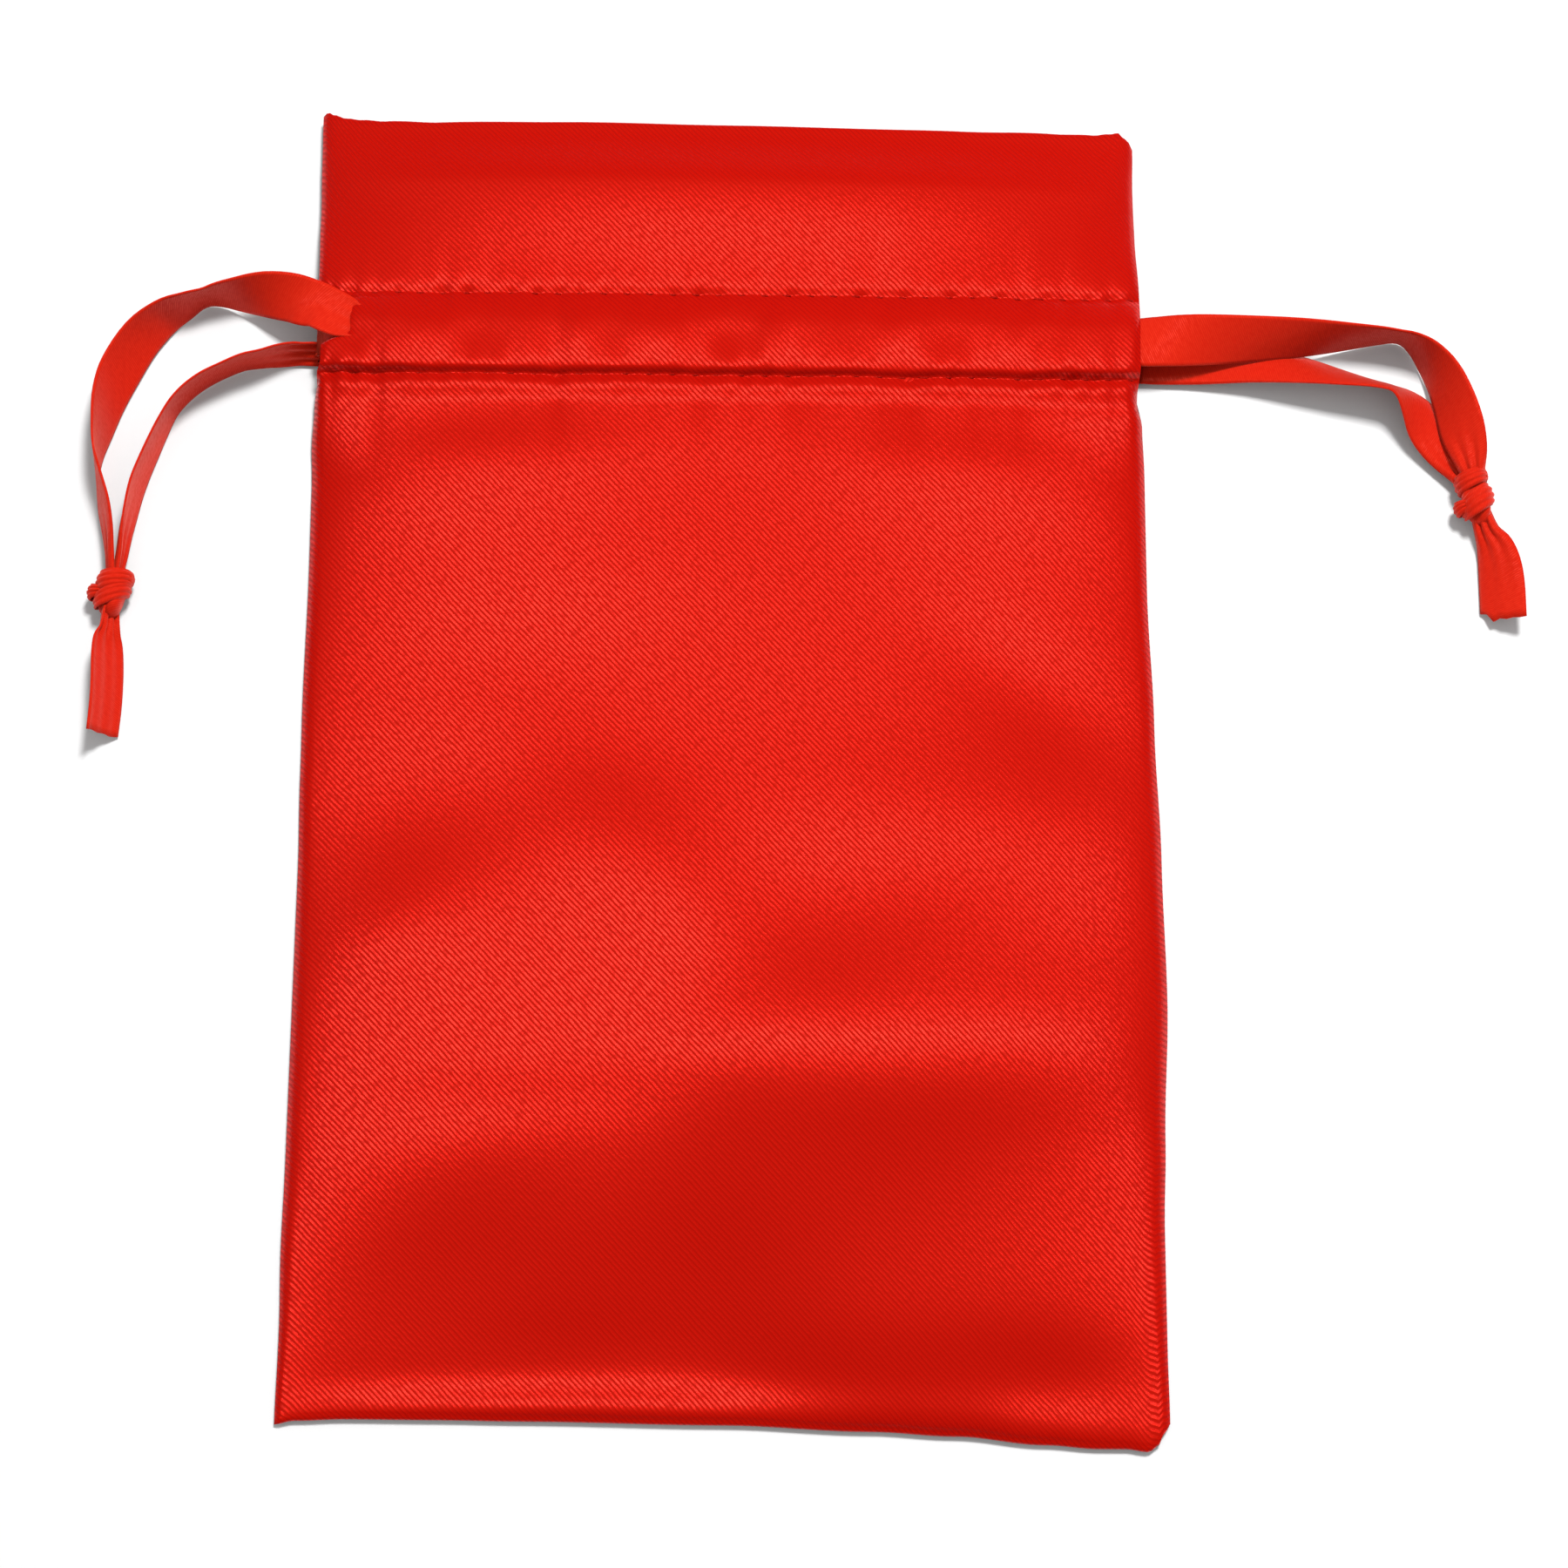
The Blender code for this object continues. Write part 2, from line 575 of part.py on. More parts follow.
def ribbon(name, stations, collection, material):
    """A flat ribbon along its stations: a strip, given its thickness."""
    strip = bmesh.new()
    centre, spread, width = stations[0]
    pair = [strip.verts.new(centre + spread * width / 2 * way) for way in (-1, 1)]
    edge = strip.edges.new(pair)
    for centre, spread, width in stations[1:]:
        grown = bmesh.ops.extrude_edge_only(strip, edges=[edge])["geom"]
        edge = next(item for item in grown if isinstance(item, bmesh.types.BMEdge))
        lower, upper = sorted(edge.verts, key=lambda vert: (vert.co - pair[0].co).length)
        lower.co = centre - spread * width / 2
        upper.co = centre + spread * width / 2
        pair = [lower, upper]
    item = new_object(name, strip, collection, material)
    thick = item.modifiers.new("thickness", "SOLIDIFY")
    thick.thickness = RIBBON_THICK
    thick.offset = 0.0
    return item


def build_drawstring(name, side, front_strand, back_strand, parts, material):
    """One drawstring, from its knot through both casings and back to its knot."""
    out = strand_stations(front_strand, side)
    back = strand_stations(back_strand, side)
    stations = list(reversed(out))
    stations += casing_stations(side, "front")
    stations += turn_stations(side)
    stations += reversed(casing_stations(side, "back"))
    stations += back
    return ribbon(name, stations, parts, material)


def knot_core(name, length, place, collection, material):
    """The rounded heart of a knot, its long way along the ribbon."""
    solid = bmesh.new()
    slim = KNOT_HEIGHT / 2 - BAND_THICK / 4
    size = Matrix.Diagonal((KNOT_WIDTH / 2 - BAND_THICK / 4, length / 2, slim, 1.0))
    along = Matrix.Rotation(math.pi / 2, 4, "X")
    bmesh.ops.create_uvsphere(solid, u_segments=14, v_segments=10, radius=1.0,
                              matrix=place @ size @ along)
    return new_object(name, solid, collection, material)


def knot_band(name, length, tilt, spin, shift, place, cutters):
    """One turn of ribbon round a knot: a flattened ring, tilted across it."""
    ratio = BAND_THICK / KNOT_WIDTH
    bpy.ops.mesh.primitive_torus_add(
        major_radius=1.0 - ratio, minor_radius=ratio, major_segments=18, minor_segments=8,
    )
    ring = bpy.context.object
    ring.name = name
    for collection in list(ring.users_collection):
        collection.objects.unlink(ring)
    cutters.objects.link(ring)
    spun = Matrix.Rotation(math.radians(spin), 4, "Z")
    size = Matrix.Diagonal((KNOT_WIDTH / 2, KNOT_HEIGHT / 2, length * 0.75, 1.0))
    turned = Matrix.Rotation(math.radians(tilt), 4, "Z") @ Matrix.Rotation(math.pi / 2, 4, "X")
    moved = Matrix.Translation((0, shift * length, 0))
    ring.data.transform(place @ moved @ turned @ size @ spun)
    return ring


def build_knot(name, side, length, strands, tail, parts, cutters, material):
    """An overhand knot of both strands, with its trimmed tail."""
    starts = [strand_stations(points, side)[-1][0] for points in strands]
    entry = (starts[0] + starts[1]) / 2
    leaving = strand_stations(tail, side)
    heading = leaving[1][0] - entry
    heading.z = 0.0
    heading.normalize()
    turn = Matrix.Rotation(math.atan2(heading.y, heading.x) + math.pi / 2, 4, "Z")
    middle = entry + heading * (length / 2 + CLEAR)
    middle.z = KNOT_HEIGHT / 2 + CLEAR / 2
    place = Matrix.Translation(middle) @ turn
    knot = knot_core(name, length, place, parts, material)
    for label, tilt, spin, shift in (("collar", -12, 4, 0.22), ("wrap", 28, 11, -0.12)):
        band = knot_band(f"{name} {label}", length, tilt, spin, shift, place, cutters)
        combine(knot, band, "UNION")
    end = ribbon(f"{name} tail", leaving, cutters, None)
    combine(knot, end, "UNION")
    return knot


def main():
    """Build the pouch, its two drawstrings and their knots."""
    clear_scene()
    parts = new_collection("drawstring_pouch")
    cutters = new_collection("cutters")
    cloth = satin("red satin", (0.62, 0.012, 0.006), 0.36)
    band = satin("red ribbon", (0.68, 0.03, 0.012), 0.42)
    build_pouch(parts, cutters, cloth)
    build_drawstring("drawstring_left", LEFT, LEFT_FRONT_STRAND, LEFT_BACK_STRAND, parts, band)
    build_drawstring("drawstring_right", RIGHT, RIGHT_FRONT_STRAND, RIGHT_BACK_STRAND, parts,
                     band)
    build_knot("knot_left", LEFT, LEFT_KNOT_LENGTH, (LEFT_FRONT_STRAND, LEFT_BACK_STRAND),
               LEFT_TAIL, parts, cutters, band)
    build_knot("knot_right", RIGHT, RIGHT_KNOT_LENGTH, (RIGHT_FRONT_STRAND, RIGHT_BACK_STRAND),
               RIGHT_TAIL, parts, cutters, band)


main()
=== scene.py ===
"""Looks of the red satin drawstring pouch, lying flat with its two ribbon drawstrings drawn out.

The satin is one strip of cloth, folded at the bottom, with its ends turned down inside. Each
drawstring is a flat ribbon whose free strands lie on the table and end in a knot. Shapes are
worked out in millimetres and put into the meshes in metres.
"""

import logging
import math
import random
from dataclasses import dataclass, field
from enum import Enum

import bmesh
import bpy
import numpy as np
from mathutils import Matrix, Vector


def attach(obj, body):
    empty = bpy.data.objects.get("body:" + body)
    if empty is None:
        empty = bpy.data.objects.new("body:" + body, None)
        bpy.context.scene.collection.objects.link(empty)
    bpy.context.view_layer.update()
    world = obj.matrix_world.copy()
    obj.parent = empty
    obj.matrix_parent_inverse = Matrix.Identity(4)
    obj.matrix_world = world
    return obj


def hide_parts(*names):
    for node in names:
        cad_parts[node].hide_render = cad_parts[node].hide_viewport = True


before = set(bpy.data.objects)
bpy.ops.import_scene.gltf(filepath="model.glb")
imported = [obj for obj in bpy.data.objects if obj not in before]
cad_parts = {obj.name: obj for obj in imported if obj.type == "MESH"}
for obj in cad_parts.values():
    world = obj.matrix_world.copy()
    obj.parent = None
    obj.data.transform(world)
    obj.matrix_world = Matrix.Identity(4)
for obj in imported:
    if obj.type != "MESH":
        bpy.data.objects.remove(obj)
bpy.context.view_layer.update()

log = logging.getLogger("pouch")
MM = 0.001
Array = np.ndarray
Piece = bpy.types.Object
Pair = tuple[float, float]
Triple = tuple[float, float, float]
Stations = tuple[Pair, ...]


class Panel(Enum):
    """The stretches of the strip of satin, in the order in which it runs."""

    FRONT_HEM = "front hem"
    FRONT_LIP = "front lip"
    FRONT = "front"
    FOLD = "fold"
    BACK = "back"
    BACK_LIP = "back lip"
    BACK_HEM = "back hem"


class Side(Enum):
    """The side at which a drawstring is drawn out."""

    LEFT = -1
    RIGHT = 1


def ease(value: Array, start: float, stop: float) -> Array:
    """A smooth step.

    Args:
        value: places to read it at.
        start: the place where it is 0.
        stop: the place where it is 1.

    Returns:
        The step's height at each place.
    """
    share = np.clip((np.asarray(value, float) - start) / (stop - start), 0, 1)
    return 0.5 - 0.5 * np.cos(np.pi * share)


def through(value: Array, stations: Stations) -> Array:
    """A smooth curve through stations.

    Args:
        value: places to read it at.
        stations: (place, height) pairs in rising order.

    Returns:
        The curve's height at each place.
    """
    places, heights = np.transpose(stations)
    value = np.asarray(value, float)
    spot = np.clip(np.searchsorted(places, value) - 1, 0, len(places) - 2)
    share = (value - places[spot]) / (places[spot + 1] - places[spot])
    return heights[spot] + (heights[spot + 1] - heights[spot]) * ease(share, 0, 1)


def unit(vectors: Array) -> Array:
    """The rows of an array of vectors, each made 1 long."""
    return vectors / np.linalg.norm(vectors, axis=1)[:, None]


def squared(vectors: Array, ahead: Array) -> Array:
    """Vectors turned square to the way ahead, each made 1 long."""
    return unit(vectors - ahead * np.sum(vectors * ahead, axis=1)[:, None])


def smooth_line(points: tuple[tuple[float, ...], ...], steps: int) -> Array:
    """A smooth curve through points of any number of values.

    Args:
        points: the points, in order.
        steps: stretches between two points.

    Returns:
        One row for each point of the curve.
    """
    fixed = np.array(points, float)
    padded = np.vstack([2 * fixed[0] - fixed[1], fixed, 2 * fixed[-1] - fixed[-2]])
    rows = []
    for spot in range(1, len(fixed)):
        before, start, stop, after = padded[spot - 1:spot + 3]
        for step in range(steps):
            share = step / steps
            bend = 2 * before - 5 * start + 4 * stop - after
            twist = 3 * start - before - 3 * stop + after
            rows.append(0.5 * (2 * start + (stop - before) * share
                               + bend * share ** 2 + twist * share ** 3))
    rows.append(fixed[-1])
    return np.array(rows)


def linked(name: str, data: bpy.types.ID) -> Piece:
    """Make an object of a mesh, light or camera and put it into the scene."""
    piece = bpy.data.objects.new(name, data)
    bpy.context.scene.collection.objects.link(piece)
    return piece


def cloth_grid(name: str, places: Array, flat: Array) -> Piece:
    """A grid of cloth laid through places.

    Args:
        name: the piece's name.
        places: rows by columns by XYZ, in metres.
        flat: rows by columns by XY, the same points on the uncut cloth, for its weave.

    Returns:
        The new object, with its weave in a UV map.
    """
    rows, columns = places.shape[:2]
    grid = bmesh.new()
    bmesh.ops.create_grid(grid, x_segments=columns - 1, y_segments=rows - 1, size=1.0)
    mesh = bpy.data.meshes.new(name)
    grid.to_mesh(mesh)
    grid.free()
    spots = np.empty(len(mesh.vertices) * 3, np.float32)
    mesh.vertices.foreach_get("co", spots)
    spots = spots.reshape(-1, 3)
    last = [[columns - 1], [rows - 1]]
    column, row = np.rint((spots[:, :2].T + 1) / 2 * last).astype(int)
    mesh.vertices.foreach_set("co", places[row, column].astype(np.float32).ravel())
    corners = np.empty(len(mesh.loops), np.int32)
    mesh.loops.foreach_get("vertex_index", corners)
    weave = mesh.uv_layers.new(name="weave")
    weave.data.foreach_set("uv", flat[row, column][corners].astype(np.float32).ravel())
    mesh.shade_smooth()
    mesh.update()
    return linked(name, mesh)


def mesh_piece(name: str, source: bmesh.types.BMesh) -> Piece:
    """Make an object out of a bmesh, which is freed."""
    mesh = bpy.data.meshes.new(name)
    source.to_mesh(mesh)
    source.free()
    mesh.shade_smooth()
    return linked(name, mesh)


def thicken(piece: Piece, thickness: float) -> None:
    """Give a sheet its thickness, in metres, half of it to each side."""
    solid = piece.modifiers.new("thickness", "SOLIDIFY")
    solid.thickness = thickness
    solid.offset = 0.0


def fill(node: bpy.types.Node, values: dict) -> None:
    """Set what a node's inputs hold, by name or number."""
    for socket, value in values.items():
        node.inputs[socket].default_value = value


def add_node(tree: bpy.types.NodeTree, kind: str, values: dict | None = None,
             **settings: object) -> bpy.types.Node:
    """Add a node to a tree.

    Args:
        tree: the tree.
        kind: the node's type.
        values: what its inputs hold, by name or number.
        settings: its settings, by name.

    Returns:
        The node.
    """
    node = tree.nodes.new(kind)
    for label, setting in settings.items():
        setattr(node, label, setting)
    fill(node, values or {})
    return node


def wire(tree: bpy.types.NodeTree, *joins: tuple) -> None:
    """Link nodes, each join being a node, its output, the next node and its input."""
    for source, output, target, socket in joins:
        tree.links.new(source.outputs[output], target.inputs[socket])


def plain_material(name: str) -> tuple[bpy.types.Material, bpy.types.Node]:
    """Make a material and hand it out with its shader."""
    material = bpy.data.materials.new(name)
    material.use_nodes = True
    return material, material.node_tree.nodes["Principled BSDF"]


@dataclass(frozen=True)
class WovenThreads:
    """The node group for satin weave: slanting lines of yarn and slubs along them."""

    name: str = "satin weave"
    wave_units: float = 20.0

    def build(self) -> bpy.types.NodeTree:
        """Build the group once.

        Returns:
            The group: Height for bump and Tone for colour, from Period, Slant and Slub.
        """
        if self.name in bpy.data.node_groups:
            return bpy.data.node_groups[self.name]
        group = bpy.data.node_groups.new(self.name, "ShaderNodeTree")
        new_socket = group.interface.new_socket
        for label, default in (("Period", 0.0005), ("Slant", 0.733), ("Slub", 0.5)):
            socket = new_socket(label, in_out="INPUT", socket_type="NodeSocketFloat")
            socket.default_value = default
        for label in ("Height", "Tone"):
            new_socket(label, in_out="OUTPUT", socket_type="NodeSocketFloat")
        entry = add_node(group, "NodeGroupInput")
        leaving = add_node(group, "NodeGroupOutput")
        weave = add_node(group, "ShaderNodeUVMap", uv_map="weave")
        away = add_node(group, "ShaderNodeMath", {1: -1.0}, operation="MULTIPLY")
        turn = add_node(group, "ShaderNodeVectorRotate", rotation_type="Z_AXIS")
        per = add_node(group, "ShaderNodeMath", {0: 2 * math.pi / self.wave_units},
                       operation="DIVIDE")
        lines = add_node(group, "ShaderNodeTexWave",
                         {"Distortion": 0.9, "Detail": 1.0, "Detail Scale": 0.6},
                         bands_direction="X")
        crisp = add_node(group, "ShaderNodeMapRange", {"From Min": 0.12, "From Max": 0.88},
                         interpolation_type="SMOOTHSTEP")
        along = add_node(group, "ShaderNodeMapping", {"Scale": (2600.0, 1200.0, 1.0)})
        slub = add_node(group, "ShaderNodeTexNoise", {"Scale": 1.0, "Detail": 2.0})
        spots = add_node(group, "ShaderNodeMapRange",
                         {"From Min": 0.35, "From Max": 0.65, "To Min": 0.15, "To Max": 1.35})
        mixed = add_node(group, "ShaderNodeMix", {2: 1.0})
        tone = add_node(group, "ShaderNodeMath", operation="MULTIPLY", use_clamp=True)
        wire(group, (entry, "Slant", away, 0), (away, 0, turn, "Angle"),
             (weave, "UV", turn, "Vector"), (entry, "Period", per, 1), (per, 0, lines, "Scale"),
             (turn, 0, lines, "Vector"), (lines, "Fac", crisp, 0), (turn, 0, along, "Vector"),
             (along, 0, slub, "Vector"), (slub, "Fac", spots, 0), (entry, "Slub", mixed, 0),
             (spots, 0, mixed, 3), (crisp, 0, tone, 0), (mixed, 0, tone, 1),
             (tone, 0, leaving, "Tone"), (tone, 0, leaving, "Height"))
        return group


@dataclass(frozen=True)
class SatinFinish:
    """Dyed satin: a deep tone between the weave's threads and a lighter tone on their crests,
    partly real yarn tone and partly a painted highlight, with a soft tinted sheen and fine relief.

    Bounce is the colour that it casts on the table.
    """

    name: str
    deep: Triple
    crest_tone_and_highlight: Triple
    rough: Pair = (0.48, 0.22)
    metallic: float = 0.28
    gleam: float = 0.14
    period: float = 0.000494
    slant: float = 0.763
    slub: float = 0.7
    relief: float = 0.10
    sheen: float = 0.03
    bounce: Triple = (0.16, 0.13, 0.13)

    def build(self) -> bpy.types.Material:
        """Build the material once.

        Returns:
            The material.
        """
        if self.name in bpy.data.materials:
            return bpy.data.materials[self.name]
        material, shader = plain_material(self.name)
        tree = material.node_tree
        fill(shader, {"Sheen Weight": self.sheen, "Sheen Roughness": 0.5,
                      "Sheen Tint": (1.0, 0.12, 0.06, 1.0),
                      "Specular Tint": (1.0, 0.12, 0.05, 1.0), "Coat Roughness": 0.24})
        weave = add_node(tree, "ShaderNodeGroup", node_tree=WovenThreads().build())
        fill(weave, {"Period": self.period, "Slant": self.slant, "Slub": self.slub})
        # Base colour mixes the deep tone between the threads with the crest tone, which is partly
        # a painted highlight on the thread crests.
        tone = add_node(tree, "ShaderNodeMix", {6: (*self.deep, 1.0), 7: (*self.crest_tone_and_highlight, 1.0)},
                        data_type="RGBA")
        path = add_node(tree, "ShaderNodeLightPath")
        cast = add_node(tree, "ShaderNodeMix", {7: (*self.bounce, 1.0)}, data_type="RGBA")
        bump = add_node(tree, "ShaderNodeBump", {"Strength": self.relief, "Distance": 0.0001})
        wire(tree, (weave, "Tone", tone, "Factor"), (path, "Is Diffuse Ray", cast, "Factor"),
             (tone, 2, cast, 6), (cast, 2, shader, "Base Color"),
             (weave, "Height", bump, "Height"), (bump, "Normal", shader, "Normal"))
        for target, low, high in (("Roughness", *self.rough), ("Metallic", 0.0, self.metallic),
                                  ("Coat Weight", 0.0, self.gleam)):
            spread = add_node(tree, "ShaderNodeMapRange", {"To Min": low, "To Max": high})
            wire(tree, (weave, "Tone", spread, "Value"), (spread, 0, shader, target))
        return material


@dataclass(frozen=True)
class PaperFinish:
    """The pale table that the pouch lies on."""

    name: str = "white table"
    tone: float = 0.93

    def build(self) -> bpy.types.Material:
        """Build the material."""
        material, shader = plain_material(self.name)
        tree = material.node_tree
        fill(shader, {"Roughness": 0.9, "Specular IOR Level": 0.1})
        place = add_node(tree, "ShaderNodeTexCoord")
        grain = add_node(tree, "ShaderNodeTexNoise", {"Scale": 900.0})
        tone = add_node(tree, "ShaderNodeMapRange",
                        {"To Min": self.tone - 0.01, "To Max": self.tone + 0.01})
        wire(tree, (place, "Object", grain, "Vector"), (grain, "Fac", tone, "Value"),
             (tone, 0, shader, "Base Color"))
        return material


# The second, lighter tone of each finish is partly a painted highlight on the thread crests.
CLOTH_FINISH = SatinFinish("red satin", (0.44, 0.0014, 0.0003), (0.75, 0.0072, 0.0021))
RIBBON_FINISH = SatinFinish("red satin ribbon", (0.66, 0.013, 0.004), (0.76, 0.022, 0.007),
                            rough=(0.6, 0.4), metallic=0.06, gleam=0.06, period=0.00024,
                            slant=1.2, slub=1.0, relief=0.14, sheen=0.5)
# The sewing thread is painted darker than the satin: painted shade of the needle holes and dips
# along the rows of stitches.
THREAD_PAINTED_SHADE_FINISH = SatinFinish("red sewing thread", (0.30, 0.002, 0.001), (0.40, 0.005, 0.003),
                            rough=(0.6, 0.5), metallic=0.05, gleam=0.05, period=0.0003,
                            slant=0.6)


@dataclass(frozen=True)
class SoftFold:
    """A soft fold of the front panel: its middle, reach along, spread across, turn, height."""

    x: float
    y: float
    reach: float
    spread: float
    turn: float
    height: float

    def at(self, x: Array, y: Array) -> Array:
        """The fold's height at places on the panel."""
        angle = math.radians(self.turn)
        run = (x - self.x) * math.cos(angle) + (y - self.y) * math.sin(angle)
        off = (y - self.y) * math.cos(angle) - (x - self.x) * math.sin(angle)
        return self.height * np.exp(-((run / self.reach) ** 2) - (off / self.spread) ** 2)


@dataclass(frozen=True)
class Pucker:
    """A short crease drawn up by a stitch: its row, place, half width, reaches and depth."""

    row: float
    x: float
    width: float
    up: float
    down: float
    depth: float

    def at(self, x: Array, along: Array) -> Array:
        """The crease's height at places on the panel."""
        off = along - self.row
        reach = np.where(off > 0, self.up, self.down)
        return -self.depth * np.exp(-(((x - self.x) / self.width) ** 2) - np.abs(off) / reach)


@dataclass
class PouchShape:
    """Where the satin lies, in millimetres, over shares across and nominal places along."""

    half_length: float = 80.0
    half_width: float = 50.4
    heading: float = 23.7
    casing: float = 10.8
    hem: float = 2.5
    cloth: float = 0.35
    clear: float = 0.3
    ribbon: float = 0.3
    shoulder: float = 1.0
    roll: float = 4.4
    step: float = 0.7
    flat_tunnel: float = 0.4
    flat_until: Pair = (0.66, 0.88)
    end_opening: float = 0.5
    body_stand: float = 6.2
    taper: float = 2.6
    taper_from: float = -40.0
    neck_stand: float = 6.7
    mouth_stand: float = 6.4
    lip_stand: float = 5.6
    seam_stand: float = 0.8
    flap_gap: float = 0.5
    crest: float = 9.0
    swell: float = 1.2
    fold_round: float = 8.0
    notch_share: float = 0.917
    stitch: float = 2.8
    groove: float = 0.12
    groove_width: float = 0.8
    wave: float = 0.3
    back_face: float = 0.04
    fold_lift: float = 0.25
    left_edge: Stations = (
        (-80, -50.6), (-70, -50.5), (-60, -50.7), (-50, -50.6), (-15, -50.6),
        (-4, -50.8), (6, -50.9), (20, -50.8), (32, -50.9), (37, -51.1),
        (41.5, -50.9), (47, -50.5), (59, -50.8), (66, -51), (74, -51.2),
        (80, -51.3),
    )
    right_edge: Stations = (
        (-80, 50.5), (-72, 50.4), (-58, 50.4), (-48, 50.7), (-31, 51.3),
        (-14, 51), (3, 50.5), (20, 50), (34, 50), (40, 49.8), (43, 49.2),
        (47, 49.5), (56, 49.6), (65.6, 49.3), (75, 49.2), (80, 49.3),
    )
    slant: Stations = ((-1, 0.45), (0, 0), (1, -0.35))
    top_rise: Stations = (
        (-1, 0.7), (-0.988, 1.15), (-0.972, 0.65), (-0.94, 0), (-0.9, -0.4), (-0.84, -0.8),
        (-0.7, -1.3), (-0.4, -1.55), (0, -1.85), (0.35, -2), (0.58, -1.9), (0.8, -1.5),
        (0.9, -1.2), (0.94, -0.8), (0.966, -0.45), (0.98, -1.2), (0.986, -1.1), (1, -2.4),
    )
    bottom_rise: Stations = (
        (-1, 0.75), (-0.955, 1.15), (-0.84, 1.35), (-0.64, 1.3), (-0.45, 1.2), (0, 0.9),
        (0.33, 0.27), (0.52, -0.2), (0.72, -1.1), (0.84, -1.5), (0.9, -1.5), (0.95, -1.8),
        (0.97, -1.2), (0.985, 0.1), (1, 1.4),
    )
    row_rise: Stations = (
        (-1, 0.35), (-0.85, -0.22), (-0.7, -0.56), (-0.4, -0.87), (0, -0.9), (0.4, -0.77),
        (0.7, -0.37), (0.85, 0), (1, 0.6),
    )
    row_reach: float = 45.0
    level_top: float = 72.0
    lower_lift: float = 0.45
    folds: tuple[SoftFold, ...] = tuple(SoftFold(*values) for values in (
        (35, -36, 30, 10, 7, 1.26), (-42, 35, 30, 10, 11, 1.12), (42, 35, 30, 10, -8, 1.06),
        (-39, -7, 30, 10, 10, -1.04), (32, -23, 30, 10, 23, 0.97), (-36, -66, 29, 10, 38, -0.86),
        (40, -76, 11, 6.4, -9, -0.81), (41, -76, 30, 5.5, 1, -0.76), (36, -37, 30, 10, 6, 0.76),
        (-40, -24, 9, 7, 35, 0.74), (-34, 8, 28, 10, 6, -0.72), (37, -9, 24, 8.5, 1, 0.67),
        (-11, -65, 30, 10, 8, -0.63), (38, 6, 15, 7.2, -28, -0.61), (-35, -75, 30, 5.7, 7, -0.56),
        (-30, -76, 30, 3.3, 0, -0.54), (-29, -73, 30, 10, 9, -0.54), (-1, -68, 30, 10, -65, -0.54),
        (-3, -72, 30, 10, -11, -0.50), (-6, -20, 30, 8, -43, 0.47), (-2, -75, 30, 5.3, -4, -0.47),
        (1, -38, 8, 7.6, -11, 0.43), (-6, -75, 30, 6.6, -1, -0.43), (-39, -44, 30, 4, 3, -0.27),
    ))
    puckers: tuple[Pucker, ...] = field(init=False)
    waves: Stations = field(init=False)

    def __post_init__(self) -> None:
        """Work out the rows, the casing's layers, the puckers and the waves of the casing."""
        self.upper = self.half_length - self.heading
        self.lower = self.upper - self.casing
        self.middle = (self.upper + self.lower) / 2
        self.hem_edge = self.lower - self.hem
        self.tunnel = 2 * self.ribbon + 3 * self.clear
        self.low_layer = self.cloth + self.clear + self.ribbon / 2
        self.high_layer = self.low_layer + self.ribbon + self.clear
        self.end_stand = 2 * self.cloth + self.tunnel + self.flap_gap
        chance = random.Random(7)
        puckers = []
        for row, depth, up, down in ((self.upper, 0.30, 2.0, 1.6), (self.lower, 0.42, 1.8, 2.1)):
            for number in range(int(2 * self.half_width / self.stitch) + 1):
                x = (number + 0.5) * self.stitch - self.half_width + chance.uniform(-0.3, 0.3)
                strong = chance.random() ** 2
                puckers.append(Pucker(
                    row, x, 0.7 + 0.9 * strong, up * (0.4 + 1.6 * strong),
                    down * (0.4 + 1.8 * strong), depth * (0.7 + chance.random())))
        self.puckers = tuple(puckers)
        self.waves = tuple((x + chance.uniform(-1, 1), chance.uniform(-1, 1))
                           for x in np.arange(-52.0, 54.0, 3.4))

    def outline(self, across: Array, along: Array) -> tuple[Array, Array]:
        """X and Y of points on the cloth.

        Args:
            across: shares across, from -1 to 1.
            along: nominal places along.

        Returns:
            X and Y.
        """
        low, high = through(along, self.left_edge), through(along, self.right_edge)
        x = low + (high - low) * (across + 1) / 2
        share = (along + self.half_length) / (2 * self.half_length)
        slant = np.interp(across, *np.transpose(self.slant))
        y = along + slant * np.clip(2 * share - 0.8, 0, 1)
        body = ease(along, self.lower - self.row_reach, self.lower)
        level = body * (1 - ease(along, self.upper, self.level_top))
        y = y + through(across, self.row_rise) * level
        y = y + self.lower_lift * (body - ease(along, self.lower, self.upper))
        y = y + through(across, self.top_rise) * ease(along, self.upper + 2, self.half_length)
        return x, y + through(across, self.bottom_rise) * np.clip(1 - share, 0, 1) ** 2

    def crown(self, across: Array) -> Array:
        """How far the front panel stands between its sides, from 0 to 1."""
        return np.maximum(0.0, 1.0 - np.minimum(1.0, np.abs(across)) ** 2.6) ** 0.75

    def rounding(self, along: Array) -> Array:
        """The rounding above the bottom fold, from 0 to 1."""
        share = np.clip((along + self.half_length) / self.fold_round, 0, 1)
        return (1.0 - (1.0 - share) ** 2.6) ** 0.6

    def opening(self, across: Array) -> Array:
        """How far the casing stands open, flatter between its ends."""
        closed = 1 - self.end_opening * ease(np.abs(across), *self.flat_until)
        return 1 - (1 - self.flat_tunnel) * closed

    def tunnel_height(self, across: Array, along: Array) -> Array:
        """Clear height of the casing."""
        high = np.sin(np.pi / 2 * np.clip((self.upper - along) / self.roll, 0, 1))
        low = np.sin(np.pi / 2 * np.clip((along - self.lower) / self.step, 0, 1))
        return self.tunnel * self.opening(across) * high * low

    def wall(self, across: Array, along: Array) -> Array:
        """Thickness of one panel."""
        layers = 1.0 + ease(along, self.hem_edge - 1.0, self.hem_edge + 1.5)
        return layers * self.cloth + self.tunnel_height(across, along)

